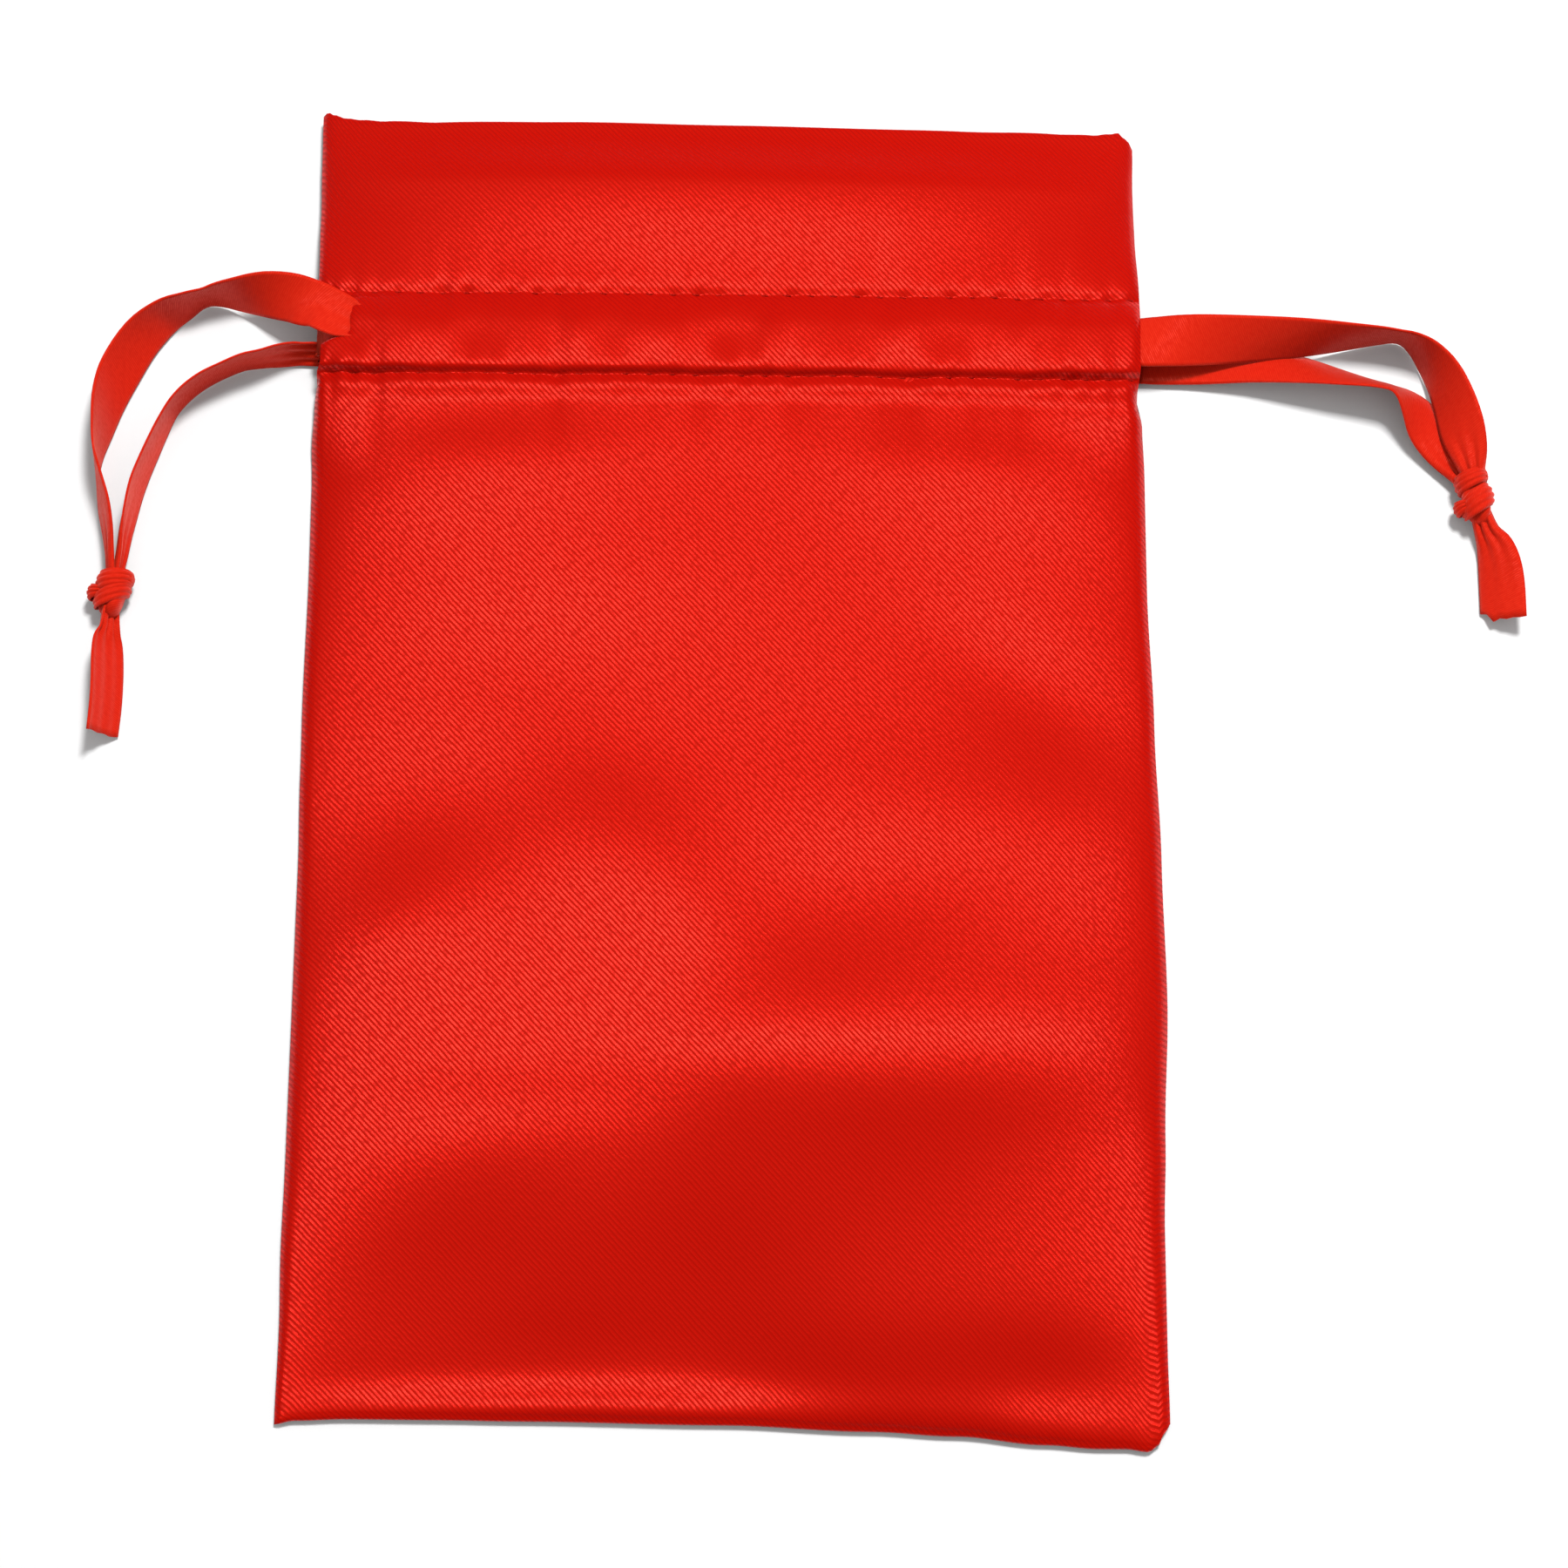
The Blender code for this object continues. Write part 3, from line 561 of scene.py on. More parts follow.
    def front_inside(self, across: Array, along: Array) -> Array:
        """Inner face of the front panel."""
        low = -self.half_length
        rise = self.hem_edge - self.casing
        top = self.half_length
        stand = through(along, (
            (low, self.body_stand - self.taper), (self.taper_from, self.body_stand),
            (rise, self.body_stand), (self.lower, self.neck_stand),
            (self.upper, self.neck_stand), (top - self.crest, self.mouth_stand + self.swell),
            (top, self.lip_stand),
        ))
        flap = 2 * self.cloth + self.flap_gap
        edge = through(along, (
            (low, self.seam_stand), (rise, self.seam_stand), (self.lower, self.end_stand),
            (self.upper, self.end_stand), (top - self.crest, flap), (top, flap),
        ))
        full = self.rounding(along) * self.crown(across)
        x, y = self.outline(across, along)
        fade = ease(along, self.hem_edge, rise) * full
        return edge + (stand - edge) * full + sum(fold.at(x, y) for fold in self.folds) * fade

    def back_outside(self, along: Array) -> Array:
        """Outer face of the back panel, lifted a little at the bottom fold."""
        low = -self.half_length
        return self.back_face + self.fold_lift * (1 - ease(along, low, low + 2.0))

    def open_end(self, along: Array) -> Array:
        """1 where the casing's ends are open, 0 where its layers are sewn together."""
        to_row = self.casing / 2 - np.abs(along - self.middle)
        return ease(to_row, 0.1, 0.7)

    def seam_height(self, along: Array) -> Array:
        """Height of the seam line along the sides."""
        return through(along, ((-self.half_length, 0.55), (self.hem_edge - self.casing, 0.6),
                               (self.lower - 0.5, 1.5)))

    def stitching(self, x: Array, along: Array) -> Array:
        """Relief of the two rows of stitches and of the puckers that they draw up."""
        height = np.zeros_like(x)
        for row in (self.upper, self.lower):
            height -= self.groove * np.exp(-(((along - row) / self.groove_width) ** 2))
        share = np.clip((along - self.lower) / self.casing, 0, 1)
        height += self.wave * through(x, self.waves) * np.sin(np.pi * share) ** 2
        return height + sum(pucker.at(x, along) for pucker in self.puckers)


@dataclass
class SatinBody:
    """The folded strip of satin, with its rows of stitches."""

    shape: PouchShape
    columns: int = 170
    lip: float = 0.35
    fold_out: float = 0.5
    notch_from: float = -0.72
    notch_foot: Pair = (-2.2, -0.3)
    notch_head: Pair = (4.8, 5.4)
    even: float = 0.72
    row_step: float = 0.62
    least_step: float = 0.11
    near_row: float = 1.2
    near_fold: float = 3.0
    turn_rows: int = 9
    stitch_half: Triple = (0.7, 0.16, 0.12)
    stitch_sunk: float = 0.04
    stitch_low: float = 0.16
    last_stitch: float = 0.975

    def rows(self) -> list[tuple[Panel, float]]:
        """Places of the grid's rows along the strip.

        Returns:
            (panel, place) pairs. A place is along the pouch, or an angle on a fold.
        """
        shape = self.shape
        top, low = shape.half_length, -shape.half_length
        hem = [*np.linspace(shape.hem_edge, shape.lower, 6),
               *np.linspace(shape.lower + 0.2, shape.upper - 0.2, 22),
               *np.linspace(shape.upper, top, 14)]
        near_rows = [row + off for row in (shape.lower, shape.upper)
                     for off in np.linspace(-self.near_row, self.near_row, 13)]
        down = list(np.arange(low + self.near_fold, top - 0.4, self.row_step)) + near_rows
        down += list(low + self.near_fold * (1 - np.cos(np.linspace(0, math.pi / 2, 12))))
        down = sorted(set(round(place, 3) for place in down + [low, top]), reverse=True)
        down = [place for place, after in zip(down, down[1:] + [low - 1])
                if place - after > self.least_step or place in (low, top)]
        turn = list(np.linspace(0, math.pi, self.turn_rows))[1:-1]
        back = sorted(set(hem + list(np.linspace(low, shape.hem_edge, 56))))
        stretches = zip(Panel, (hem, turn, down, turn, back, turn, hem[::-1]))
        return [(panel, place) for panel, places in stretches for place in places]

    def notch(self, across: Array, along: Array) -> Array:
        """Draw the left end of the front casing in, where it stops short of the side."""
        shape, start = self.shape, self.notch_from
        pull = (shape.notch_share + start) / (1 + start)
        drawn = np.where(across < start, start + (across - start) * pull, across)
        off = along - shape.middle
        reach = (0.1 + 0.9 * ease(off, *self.notch_foot)) * (1 - ease(off, *self.notch_head))
        return across + (drawn - across) * reach * shape.open_end(along)

    def edged(self, across: Array, height: Array, edge: Array,
              width: float = 0.028) -> Array:
        """Round the cloth's height off to its edge's height at both sides."""
        share = np.clip((np.abs(across) - (1 - width)) / width, 0, 1)
        return edge + (height - edge) * np.sqrt(1.0 - share ** 2)

    def lay(self, panel: Panel, place: float, across: Array) -> Array:
        """Where one row of the strip lies.

        Args:
            panel: the stretch of the strip.
            place: along the pouch, or an angle on a fold.
            across: shares across.

        Returns:
            One XYZ for each share, in millimetres.
        """
        shape = self.shape
        top = shape.half_length
        ends = {Panel.FRONT_LIP: top, Panel.BACK_LIP: top, Panel.FOLD: -top}
        along = np.full_like(across, ends.get(panel, place))
        front = panel in (Panel.FRONT, Panel.FRONT_HEM)
        share = self.notch(across, along) if front else across
        x, y = shape.outline(share, along)
        wall, opened = shape.wall(share, along), shape.open_end(along)
        inside = shape.front_inside(share, along)
        split = ease(along, shape.lower - 1.0, shape.lower)
        seam = shape.seam_height(along)
        if front or panel in (Panel.BACK, Panel.BACK_HEM):
            base = inside if front else np.zeros_like(across)
            out = 1 if panel in (Panel.FRONT, Panel.BACK_HEM) else -1
            flap = base + wall / 2 + out * opened * (wall / 2 - shape.cloth)
            height = base + wall if out > 0 else base
            if panel is Panel.FRONT:
                height = height + shape.stitching(x, along)
            if panel is Panel.BACK:
                height = shape.back_outside(along)
            return np.stack([x, y, self.edged(across, height, seam + (flap - seam) * split)], -1)
        if panel is Panel.FOLD:
            high = self.edged(across, inside + wall, seam)
            low = self.edged(across, shape.back_outside(along), seam)
            middle, radius = (high + low) / 2, (high - low) / 2
            height = middle + radius * math.cos(place)
            return np.stack([x, y - self.fold_out * math.sin(place), height], -1)
        base = inside if panel is Panel.FRONT_LIP else shape.back_outside(along)
        angle = place if panel is Panel.FRONT_LIP else math.pi - place
        low = self.edged(across, base, base + wall / 2)
        high = self.edged(across, base + wall, base + wall / 2)
        height = (low + high) / 2 - (high - low) / 2 * math.cos(angle)
        return np.stack([x, y + self.lip * math.sin(angle), height], -1)

    def build(self) -> Piece:
        """Build the strip of satin.

        Returns:
            The piece.
        """
        turn = np.linspace(-math.pi / 2, math.pi / 2, self.columns + 1)
        even = np.linspace(-1, 1, self.columns + 1)
        across = self.even * even + (1 - self.even) * np.sin(turn)
        places = np.array([self.lay(panel, place, across) for panel, place in self.rows()])
        steps = np.linalg.norm(np.diff(places, axis=0), axis=2)
        run = np.vstack([np.zeros(len(across)), np.cumsum(steps, axis=0)])
        run = np.broadcast_to(run[:, len(across) // 2][:, None], run.shape)
        flat = np.stack([places[..., 0], -run], -1)
        piece = cloth_grid("satin_strip", places * MM, flat * MM)
        piece.data.materials.append(CLOTH_FINISH.build())
        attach(piece, "root")
        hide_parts("pouch_body")
        return piece

    def build_thread(self) -> Piece:
        """Build the visible stitches of both rows on both panels.

        Returns:
            The piece.
        """
        shape = self.shape
        thread = bmesh.new()
        count, near = int(2 * shape.half_width / shape.stitch), 0.02
        for row in (shape.upper, shape.lower):
            for number in range(count + 1):
                share = np.array([(number + 0.5) * shape.stitch / shape.half_width - 1])
                if share[0] > self.last_stitch or share[0] < -shape.notch_share + 0.01:
                    continue
                along = np.array([row])
                x, y = shape.outline(share, along)
                ends = shape.front_inside(share + np.array([-near, near]), along.repeat(2))
                slope = math.atan2(ends[1] - ends[0], 2 * near * shape.half_width)
                height = shape.front_inside(share, along) + shape.wall(share, along)
                height = height + shape.stitching(x, along)
                for z, tilt in ((height[0] - self.stitch_sunk, slope), (0.0, 0.0)):
                    z = max(z, self.stitch_low)
                    place = Matrix.Translation((x[0], y[0], z))
                    turn = Matrix.Rotation(-tilt, 4, "Y")
                    size = Matrix.Diagonal((*self.stitch_half, 1.0))
                    bmesh.ops.create_uvsphere(thread, u_segments=8, v_segments=5, radius=1.0,
                                              matrix=place @ turn @ size)
        bmesh.ops.scale(thread, vec=(MM, MM, MM), verts=thread.verts)
        weave = thread.loops.layers.uv.new("weave")
        for face in thread.faces:
            for corner in face.loops:
                corner[weave].uv = corner.vert.co.xy
        piece = mesh_piece("sewing_thread", thread)
        piece.data.materials.append(THREAD_PAINTED_SHADE_FINISH.build())
        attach(piece, "root")
        return piece


@dataclass(frozen=True)
class Strand:
    """A free strand of ribbon.

    Each point gives its place out from the exit (EXITS has its X) and along from the casing's
    middle, its height, lean and width.
    """

    name: str
    points: tuple[tuple[float, ...], ...]
    cup: float = 0.25


EXITS: dict[Side, float] = {Side.LEFT: -50.8, Side.RIGHT: 49.67}
LEFT_FRONT = Strand("ribbon_left_front", (
    (-5.2, 1.7, 5.2, 0, 4.2), (-4.4, 1.9, 5.25, 0, 4.8), (-3.6, 2.2, 5.3, 0, 5.4),
    (-2.6, 2.6, 5.35, 0, 5.7), (-1.5, 3.1, 5.45, 0, 5.8), (-0.3, 3.7, 5.4, 4, 5.8),
    (1.2, 4.2, 5.2, 12, 6), (3.2, 4.9, 4.8, 26, 6), (6.2, 5.4, 4.4, 46, 6), (9.5, 5.6, 3.8, 70, 6),
    (12.2, 5.7, 3.4, 86, 6), (14, 5.4, 3.3, 92, 6), (16, 4.4, 3.3, 82, 6), (18.6, 3, 3.1, 68, 6),
    (21.4, 0.3, 2.75, 53, 6), (23.7, -3.8, 2.6, 48, 6), (24.9, -7.6, 2.9, 60, 6),
    (25.5, -11.6, 3.2, 76, 6), (25.8, -15, 3.3, 90, 6), (25.4, -18.2, 3.25, 102, 6),
    (24.7, -21.6, 3.1, 110, 5.8), (24.1, -24.6, 2.9, 110, 4.8), (23.7, -27.3, 2.7, 106, 3.6),
    (23.4, -29.6, 2.6, 102, 2.6), (23.2, -31, 2.5, 100, 2.4),
))
LEFT_BACK = Strand("ribbon_left_back", (
    (-2.2, -1.2, 1.5, 45, 3), (-0.8, -1.2, 1.6, 54, 3.3), (0.3, -1.2, 1.6, 60, 3.6),
    (1.9, -1.3, 1.9, 70, 4), (3.2, -1.5, 2.3, 76, 4.6), (4.8, -1.9, 2.7, 83, 5.2),
    (6.6, -2.4, 3, 90, 5.6), (8.8, -3, 3.3, 94, 6), (11.2, -4.1, 3.3, 95, 6),
    (13.5, -5.4, 3.3, 94, 6), (15.4, -7, 3.3, 93, 6), (16.9, -8.9, 3.3, 92, 6),
    (18.1, -11.5, 3.3, 89, 6), (19.1, -14.1, 3.3, 87, 6), (20, -16.6, 3.3, 86, 6),
    (20.8, -19.2, 3.3, 85, 6), (21.4, -22, 3.1, 85, 5.6), (21.9, -24.8, 2.9, 85, 4.6),
    (22.2, -27.4, 2.7, 86, 3.4), (22.5, -29.6, 2.6, 88, 2.6), (22.7, -31, 2.5, 88, 2.4),
))
RIGHT_FRONT = Strand("ribbon_right_front", (
    (-1.4, 0, 3.5, 0, 4.6), (-0.4, 0.1, 3.65, 0, 6), (0.8, 0.1, 3.8, 0, 6.3),
    (2.6, 0.15, 3.95, 4, 6.3), (6.8, 0.3, 4.1, 22, 6.2), (13.4, 0.5, 4.1, 44, 6),
    (19.6, 0.8, 3.8, 62, 6), (25.2, 1.1, 3.45, 80, 6), (29.2, 1.3, 3.3, 92, 6),
    (31.6, 1.2, 3.3, 98, 6), (33.3, 0.3, 3.3, 88, 6), (34.9, -1.3, 3.3, 72, 6),
    (36.6, -4, 3.4, 57, 6), (37.8, -7.4, 3.5, 46, 6), (38.6, -10.9, 3.6, 36, 5.8),
    (39.2, -13.6, 3.5, 24, 4.6), (39.6, -16, 3.3, 12, 3), (39.9, -17.4, 3, 12, 2.6),
))
RIGHT_BACK = Strand("ribbon_right_back", (
    (0, -1.1, 0.8, 0, 6), (2.6, -1.2, 0.8, 0, 6), (7.2, -1.3, 0.8, -6, 6),
    (13.6, -1.7, 1.4, -20, 6), (19.7, -2.8, 2.2, -37, 6), (24.8, -4, 2.7, -52, 6),
    (28.6, -4.9, 3, -61, 6), (30.8, -5.6, 2.9, -60, 6), (32.9, -7.4, 2.3, -40, 6),
    (34.9, -10.2, 1.4, -18, 6), (36.8, -13.2, 1.2, -6, 4.8), (38.6, -16, 1.7, 0, 3),
    (39.4, -17.4, 2, 0, 2.6),
))
LEFT_TAIL = Strand("tail_left", (
    (23.3, -33.8, 2.5, 56, 2.2), (23.3, -36.6, 2.4, 54, 3), (23.4, -38.4, 2.4, 54, 4.6),
    (23.3, -40.8, 2.5, 55, 5.2), (23.2, -43.4, 2.5, 56, 5.3), (23.2, -46.4, 2.5, 57, 5.3),
    (23.4, -50, 2.5, 58, 5.3),
))
RIGHT_TAIL = Strand("tail_right", (
    (40.4, -20.8, 2.4, 20, 2.2), (41.2, -23.5, 2.1, 30, 3), (42.1, -25.4, 1.9, 34, 4.6),
    (42.6, -27.6, 1.9, 33, 5.4), (42.8, -30.4, 1.8, 31, 5.7), (42.8, -34.6, 1.8, 30, 5.7),
))


@dataclass
class Drawstring:
    """One ribbon drawn out at one side: its free strands, its run in the casings, its knot.

    Length is its knot's, and cut is how far the tail's end is cut back, edge to edge.
    """

    side: Side
    shape: PouchShape
    front: Strand
    back: Strand
    tail: Strand
    length: float
    cut: tuple[float, ...]
    thick: float = 0.24
    across: int = 14
    wide: float = 6.0
    bunched: float = 3.0
    own_lane: float = 1.5
    turned: float = 3.2
    loosened: float = 1.4
    far_lane: float = -0.7
    changes_lane: Pair = (0.65, 0.92)
    changes_layer: Pair = (0.3, 0.65)
    casing_rows: int = 44
    above: float = 0.05

    @property
    def label(self) -> str:
        """The side's name, as the CAD nodes have it."""
        return self.side.name.lower()

    def stations(self, strand: Strand, steps: int = 4) -> tuple[Array, ...]:
        """Centres, width directions, normals and widths along a strand."""
        way = self.side.value
        edge = EXITS[self.side]
        line = smooth_line(strand.points, steps)
        centres = np.stack([edge + way * line[:, 0], self.shape.middle + line[:, 1],
                            line[:, 2]], -1)
        ahead = unit(np.gradient(centres, axis=0))
        level = unit(np.cross([0, 0, way], ahead * [1, 1, 0]))
        lean = np.radians(line[:, 3])[:, None]
        spread = squared(level * np.cos(lean) + np.array([0, 0, 1]) * np.sin(lean), ahead)
        width = line[:, 4]
        resting = width / 2 * np.abs(spread[:, 2]) + self.thick + self.above
        centres[:, 2] = np.maximum(centres[:, 2], resting)
        return centres, spread, np.cross(ahead, spread), width

    def ribbon(self, name: str, stations: tuple[Array, ...], cup: float,
               cut: tuple[float, ...] = ()) -> Piece:
        """A flat ribbon through stations.

        Args:
            name: the piece's name.
            stations: centres, width directions, normals and widths.
            cup: how far its middle stands out of its edges, in millimetres.
            cut: how far its last end is cut back, from one edge to the other.

        Returns:
            The new object.
        """
        centres, spread, normal, width = stations
        share = np.linspace(-1, 1, self.across + 1)
        gather = bool(cup) * np.clip((self.wide - width) / 4.0, 0, 1)[:, None]
        pleats = 0.35 * np.cos(share * 3 * math.pi)
        relief = cup * (1 - share ** 2)[None, :] + gather * pleats
        places = (centres[:, None] + spread[:, None] * (share[None, :, None] / 2)
                  * width[:, None, None] + normal[:, None] * relief[..., None])
        if cut:
            back = np.interp(share, np.linspace(-1, 1, len(cut)), cut)[:, None]
            ahead = centres[-1] - centres[-2]
            for row, part in ((-1, 1.0), (-2, 0.6), (-3, 0.3)):
                places[row] -= back * part * ahead / np.linalg.norm(ahead)
        run = np.concatenate([[0], np.cumsum(np.linalg.norm(np.diff(centres, axis=0), axis=1))])
        flat = np.stack([np.broadcast_to(share * self.wide / 2, relief.shape),
                         np.broadcast_to(run[:, None], relief.shape)], -1)
        piece = cloth_grid(name, places * MM, flat * MM)
        thicken(piece, self.thick * MM)
        piece.data.materials.append(RIBBON_FINISH.build())
        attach(piece, "root")
        return piece

    def free_strand(self, strand: Strand) -> Piece:
        """Build a free strand, a ribbon that ends in the knot."""
        stations = self.stations(strand)
        piece = self.ribbon(strand.name, stations, strand.cup)
        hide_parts(f"drawstring_{self.label}")
        return piece

    def casing_stations(self, front: bool) -> tuple[list[Array], list[float]]:
        """Centres and widths of the run in one casing, from the drawn side to the far one."""
        way, shape = self.side.value, self.shape
        end = shape.notch_share - 0.012 if front and way < 0 else 1.0
        drawn = {(-1, True): 0.85, (-1, False): -0.5, (1, True): -0.2, (1, False): -0.8}
        room = shape.casing / 2 - shape.shoulder - self.wide / 2
        own = -self.own_lane * way
        centres, widths = [], []
        for share in np.linspace(way * end, -way, self.casing_rows):
            size = abs(share)
            bunch = 1 - float(ease(size, *self.changes_lane))
            rest = room * (self.far_lane * way if share * way < 0 else drawn[way, front])
            offset = rest + (own - rest) * bunch
            stack = float(ease(size, *self.changes_layer)) * (1 if share * way > 0 else -1)
            spot, along = np.array([share]), np.array([shape.middle + offset])
            x, y = shape.outline(spot, along)
            opened = shape.opening(spot)[0]
            middle = (shape.low_layer + shape.high_layer) / 2 - shape.cloth
            middle = shape.cloth + middle * opened
            step = stack * (shape.high_layer - shape.low_layer) / 2 * opened
            height = middle - step
            if front:
                base = float(shape.front_inside(spot, np.array([shape.middle]))[0])
                height = base + middle + step
            centres.append(np.array([x[0], y[0], height]))
            widths.append(self.bunched + self.loosened * (1 - bunch))
        return centres, widths

    def casing_run(self) -> Piece:
        """Build the held run through the front casing, round the far side and back."""
        shape, far = self.shape, -self.side.value
        front, front_widths = self.casing_stations(True)
        back, back_widths = self.casing_stations(False)
        start, stop = front[-1], back[-1]
        high, low = start[2], stop[2]
        turn, radius = [], (high - low) / 2
        for angle in np.linspace(math.pi / 2, -math.pi / 2, 11):
            turn.append(np.array([
                start[0] + far * (0.5 * radius * math.cos(angle) - 0.4),
                start[1] + (stop[1] - start[1]) * (0.5 - angle / math.pi),
                (high + low) / 2 + radius * math.sin(angle),
            ]))
        centres = np.array(front + turn + back[::-1])
        widths = np.array(front_widths + [self.turned] * len(turn) + back_widths[::-1])
        ahead = unit(np.gradient(centres, axis=0))
        spread = squared(np.broadcast_to([0.0, 1.0, 0.0], centres.shape), ahead)
        piece = self.ribbon(f"ribbon_{self.label}_in_casing",
                            (centres, spread, np.cross(ahead, spread), widths), 0.0)
        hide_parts(f"drawstring_{self.label}")
        return piece

    def build(self) -> list[Piece]:
        """Build all the pieces of the drawstring, with its knot."""
        turns = LEFT_TURNS if self.side is Side.LEFT else RIGHT_TURNS
        knot = Knot(self, self.length, turns).build()
        pieces = [self.free_strand(self.front), self.free_strand(self.back)]
        return pieces + [self.casing_run()] + knot


@dataclass(frozen=True)
class Turn:
    """One turn of ribbon round a knot.

    It has its angles, size, shift along, slant, the band's width and a shift aside.
    """

    name: str
    start: float
    stop: float
    size: float
    shift: float
    slant: float
    band: float
    aside: float = 0.0


@dataclass
class Knot:
    """An overhand knot tied in both ends of a ribbon, with its trimmed tail."""

    string: Drawstring
    length: float
    turns: tuple[Turn, ...]
    width: float = 4.1
    height: float = 4.2
    lump: float = 0.40
    bulge: float = 0.34
    crease: float = 0.10
    pinch: float = 0.62
    above: float = 0.15
    tail_cup: float = 0.3
    turn_rows: int = 44

    def place(self) -> Matrix:
        """Where the knot lies."""
        string = self.string
        entry = (string.stations(string.front)[0][-1] + string.stations(string.back)[0][-1]) / 2
        start = string.stations(string.tail)[0][0]
        heading = (start - entry) * [1, 1, 0]
        turn = Matrix.Rotation(math.atan2(heading[1], heading[0]) + math.pi / 2, 4, "Z")
        middle = Vector((entry + start) / 2)
        middle.z = self.height / 2 + self.above
        return Matrix.Translation(middle) @ turn

    def wound(self, name: str, local: Array, flat: Array,
              thickness: float) -> Piece:
        """A piece of the knot.

        Args:
            name: the piece's name.
            local: rows by columns by XYZ, in the knot's own frame.
            flat: the same points on the ribbon, for its weave.
            thickness: its thickness, 0 for a closed lump.

        Returns:
            The piece.
        """
        place = self.place()
        spots = np.reshape([place @ Vector(spot) for spot in local.reshape(-1, 3)], local.shape)
        spots[..., 2] = np.maximum(spots[..., 2], 0.13)
        piece = cloth_grid(name, spots * MM, flat * MM)
        if thickness:
            thicken(piece, thickness * MM)
        piece.data.materials.append(RIBBON_FINISH.build())
        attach(piece, "root")
        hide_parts(f"knot_{self.string.label}")
        return piece

    def turn(self, kind: Turn) -> Piece:
        """One turn of gathered ribbon round the knot."""
        share = np.linspace(0, 1, self.turn_rows + 1)[:, None]
        angles = np.radians(kind.start + (kind.stop - kind.start) * share)
        across = np.linspace(-1, 1, 17)[None, :]
        pinch = self.pinch + (1 - self.pinch) * np.sin(share * math.pi)
        bulge = (self.bulge * (1 - across ** 2)
                 + self.crease * np.cos(across * 3.4 * math.pi + share * 4))
        reach_x = self.width / 2 * kind.size + bulge
        reach_z = self.height / 2 * kind.size + bulge
        places = np.stack([
            kind.aside + reach_x * np.cos(angles),
            kind.shift + kind.slant * np.cos(angles) + across * kind.band / 2 * pinch,
            reach_z * np.sin(angles) * np.ones_like(across),
        ], -1)
        flat = np.stack([across * 3 + 0 * share, angles * self.width / 2 + 0 * across], -1)
        label = f"knot_{self.string.label}_{kind.name}"
        return self.wound(label, places, flat, 0.22)

    def core(self) -> Piece:
        """The lump of ribbon inside the turns, drawn out towards the strands and the tail."""
        angles = np.linspace(0, 2 * math.pi, 41)[:, None]
        along = np.linspace(-1, 1, 33)[None, :]
        full = np.sqrt(np.clip(1 - np.abs(along) ** 2.4, 0, 1))
        folds = 1 + 0.10 * np.sin(3 * angles + 3.0 * along) + 0.06 * np.cos(2 * angles - 7 * along)
        places = np.stack([
            self.width * self.lump * full * folds * np.cos(angles),
            self.length / 2 * along + 0 * angles,
            self.height * self.lump * full * folds * np.sin(angles),
        ], -1)
        flat = np.stack([angles * 1.8 + 0 * along, self.length / 2 * along + 0 * angles], -1)
        return self.wound(f"knot_{self.string.label}_core", places, flat, 0.0)

    def build(self) -> list[Piece]:
        """Build the knot's pieces: its lump, its turns of ribbon and its tail."""
        pieces = [self.core()] + [self.turn(kind) for kind in self.turns]
        stations = self.string.stations(self.string.tail)
        tail = self.string.ribbon(self.string.tail.name, stations, self.tail_cup, self.string.cut)
        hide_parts(f"knot_{self.string.label}")
        return pieces + [tail]


LEFT_TURNS = (
    Turn("collar", -30, 390, 0.86, 1.5, 0.45, 2.5),
    Turn("wrap", -25, 215, 0.80, -0.3, 0.9, 2.6),
    Turn("ear", 70, 290, 0.42, -0.1, 0.1, 1.9, -1.75),
)
RIGHT_TURNS = (
    Turn("collar", -30, 390, 0.80, 2.0, 0.35, 2.4),
    Turn("wrap", -40, 210, 0.84, -0.9, 0.7, 3.0),
    Turn("ear", 70, 290, 0.40, -1.0, 0.2, 1.8, -1.7),
)


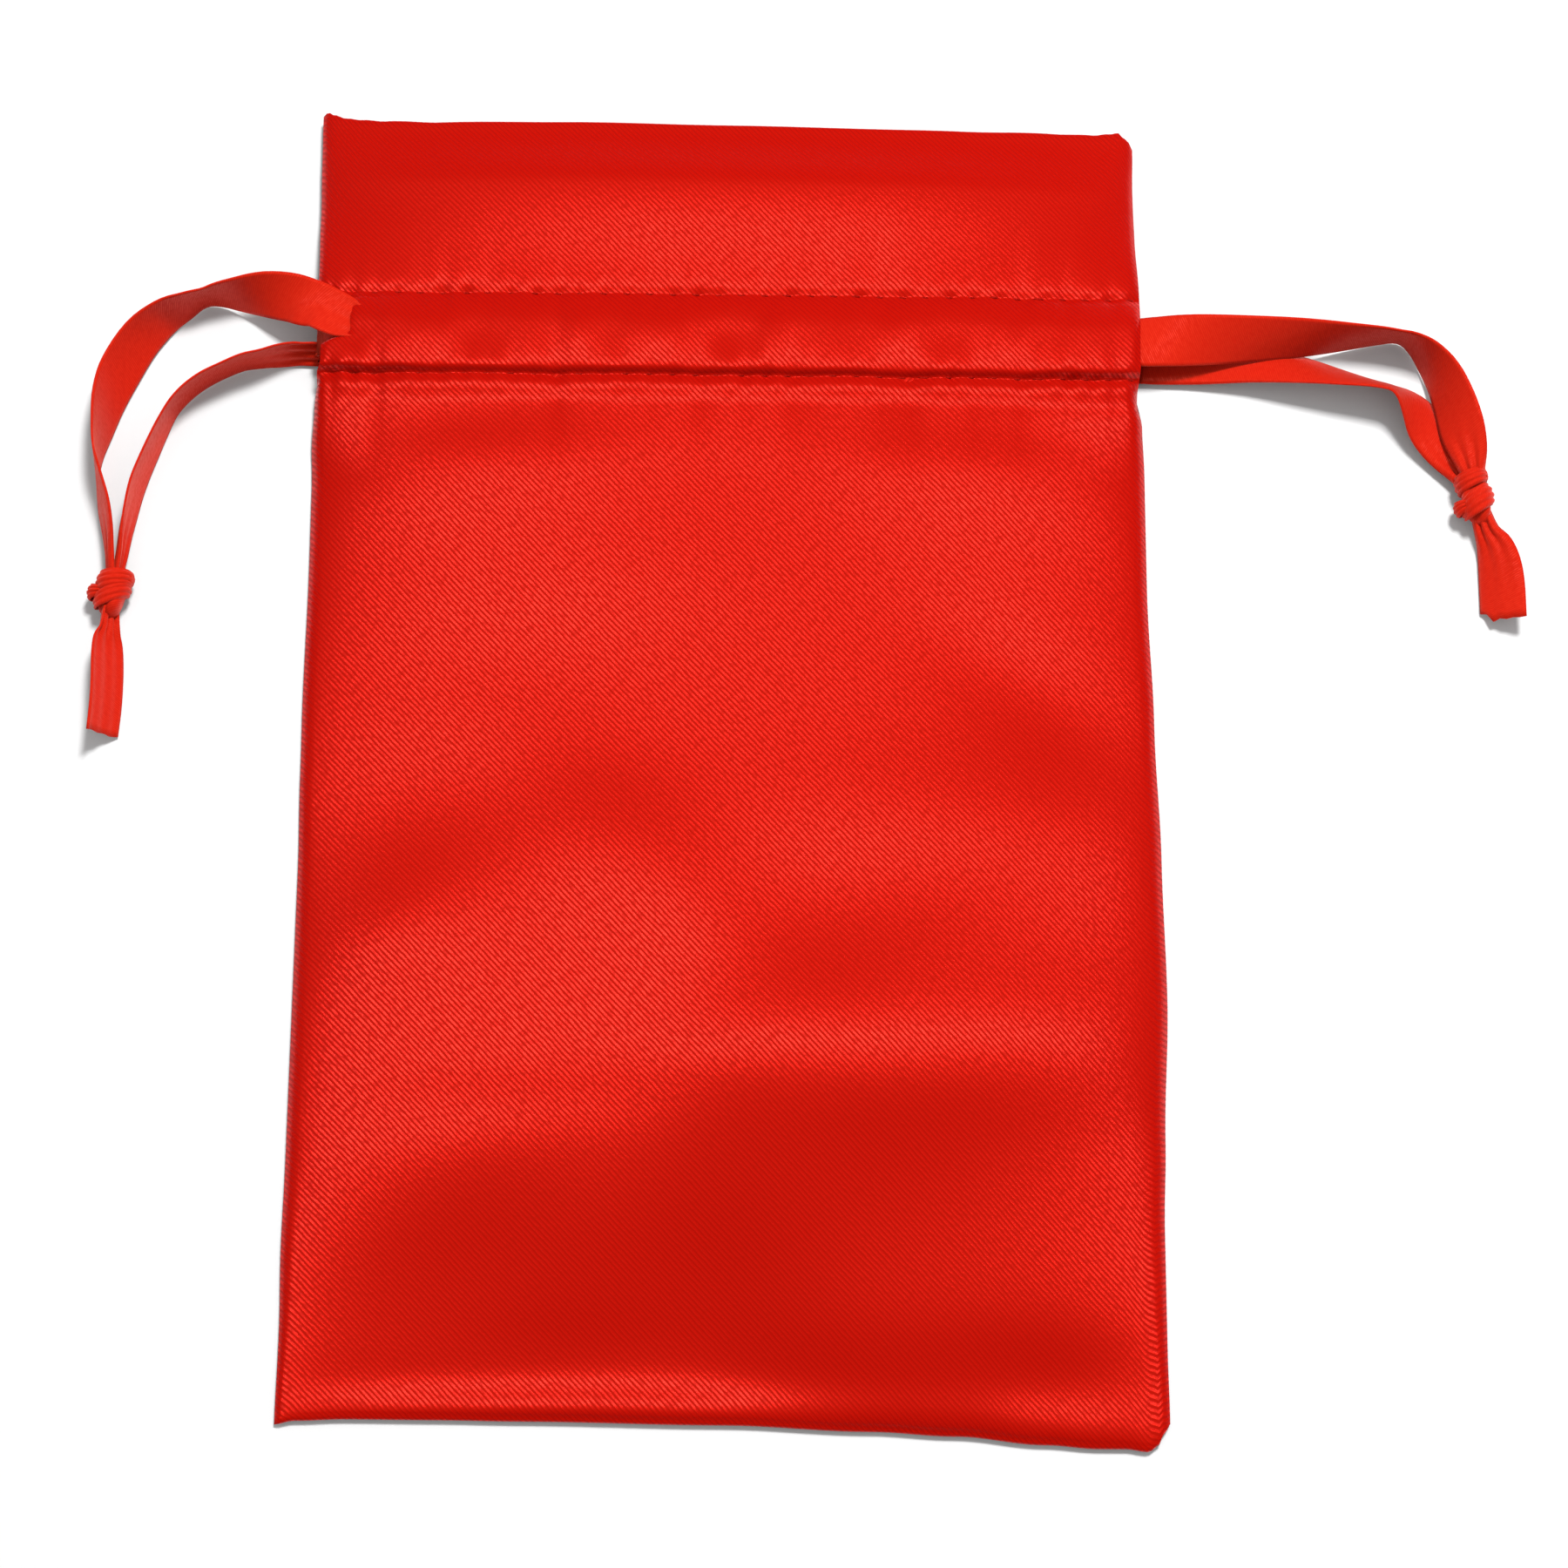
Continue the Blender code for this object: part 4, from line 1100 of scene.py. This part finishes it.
@dataclass
class Studio:
    """The table, the lights and the camera."""

    tilt: float = 16.0
    distance: float = 0.4389
    target: Triple = (0.00650, -0.00410, 0.0)
    lens: float = 85.0
    roll: float = 0.33
    daylight: float = 0.42

    def table(self) -> Piece:
        """Build the pale table top."""
        top = bmesh.new()
        bmesh.ops.create_grid(top, x_segments=1, y_segments=1, size=1.5)
        piece = mesh_piece("table_top", top)
        piece.data.materials.append(PaperFinish().build())
        return piece

    def light(self, name: str, place: Triple, size: Pair,
              power: float, gloss: bool) -> Piece:
        """Build a soft light aimed at the pouch.

        Args:
            name: the light's name.
            place: where it stands, in metres.
            size: its sides across and along, in metres.
            power: in watts.
            gloss: whether it lights the sheen, and not the plain colour.

        Returns:
            The light.
        """
        lamp = bpy.data.lights.new(name, "AREA")
        lamp.shape = "RECTANGLE"
        lamp.size, lamp.size_y = size
        lamp.energy = power
        item = linked(name, lamp)
        item.visible_glossy = gloss
        item.visible_diffuse = not gloss
        item.location = place
        aim = Vector(self.target) - Vector(place)
        item.rotation_euler = aim.to_track_quat("-Z", "Y").to_euler()
        return item

    def camera(self) -> Piece:
        """Build the camera at the photograph's viewing angle."""
        data = bpy.data.cameras.new("camera")
        data.lens = self.lens
        data.sensor_width = 36.0
        data.sensor_fit = "HORIZONTAL"
        item = linked("camera", data)
        tilt = math.radians(self.tilt)
        back = Vector((0.0, -math.sin(tilt), math.cos(tilt)))
        item.location = Vector(self.target) + back * self.distance
        facing = (-back).to_track_quat("-Z", "Y").to_matrix()
        level = Matrix.Rotation(math.radians(self.roll), 3, "Z")
        item.rotation_euler = (facing @ level).to_euler()
        bpy.context.scene.camera = item
        return item

    def build(self) -> None:
        """Build all of the studio."""
        self.table()
        self.camera()
        self.light("window", (0.20, 0.42, 0.92), (0.2, 0.2), 9.4, False)
        self.light("softbox", (0.0, 0.55, 3.0), (5.0, 0.6), 80.0, True)
        world = bpy.data.worlds.new("studio")
        world.use_nodes = True
        sky = world.node_tree.nodes["Background"]
        fill(sky, {"Color": (1, 1, 1, 1), "Strength": self.daylight})
        bpy.context.scene.world = world
        world.cycles_visibility.glossy = False
        bpy.context.scene.view_settings.view_transform = "Standard"


def main() -> None:
    """Build the studio, the satin body and both drawstrings, and report them."""
    logging.basicConfig(level=logging.INFO, format="%(message)s")
    shape = PouchShape()
    Studio().build()
    body = SatinBody(shape)
    pieces = [body.build(), body.build_thread()]
    pieces += Drawstring(Side.LEFT, shape, LEFT_FRONT, LEFT_BACK, LEFT_TAIL, 6.1,
                         (0.3, 0.1, 0.2, 0.0, 0.1, -0.2)).build()
    pieces += Drawstring(Side.RIGHT, shape, RIGHT_FRONT, RIGHT_BACK, RIGHT_TAIL, 7.4,
                         (1.2, 1.0, -0.1, 0.2, 0.0, 0.1, 0.0, 0.1)).build()
    for piece in pieces:
        log.info("built %s, %d faces", piece.name, len(piece.data.polygons))


if __name__ == "__main__":
    main()
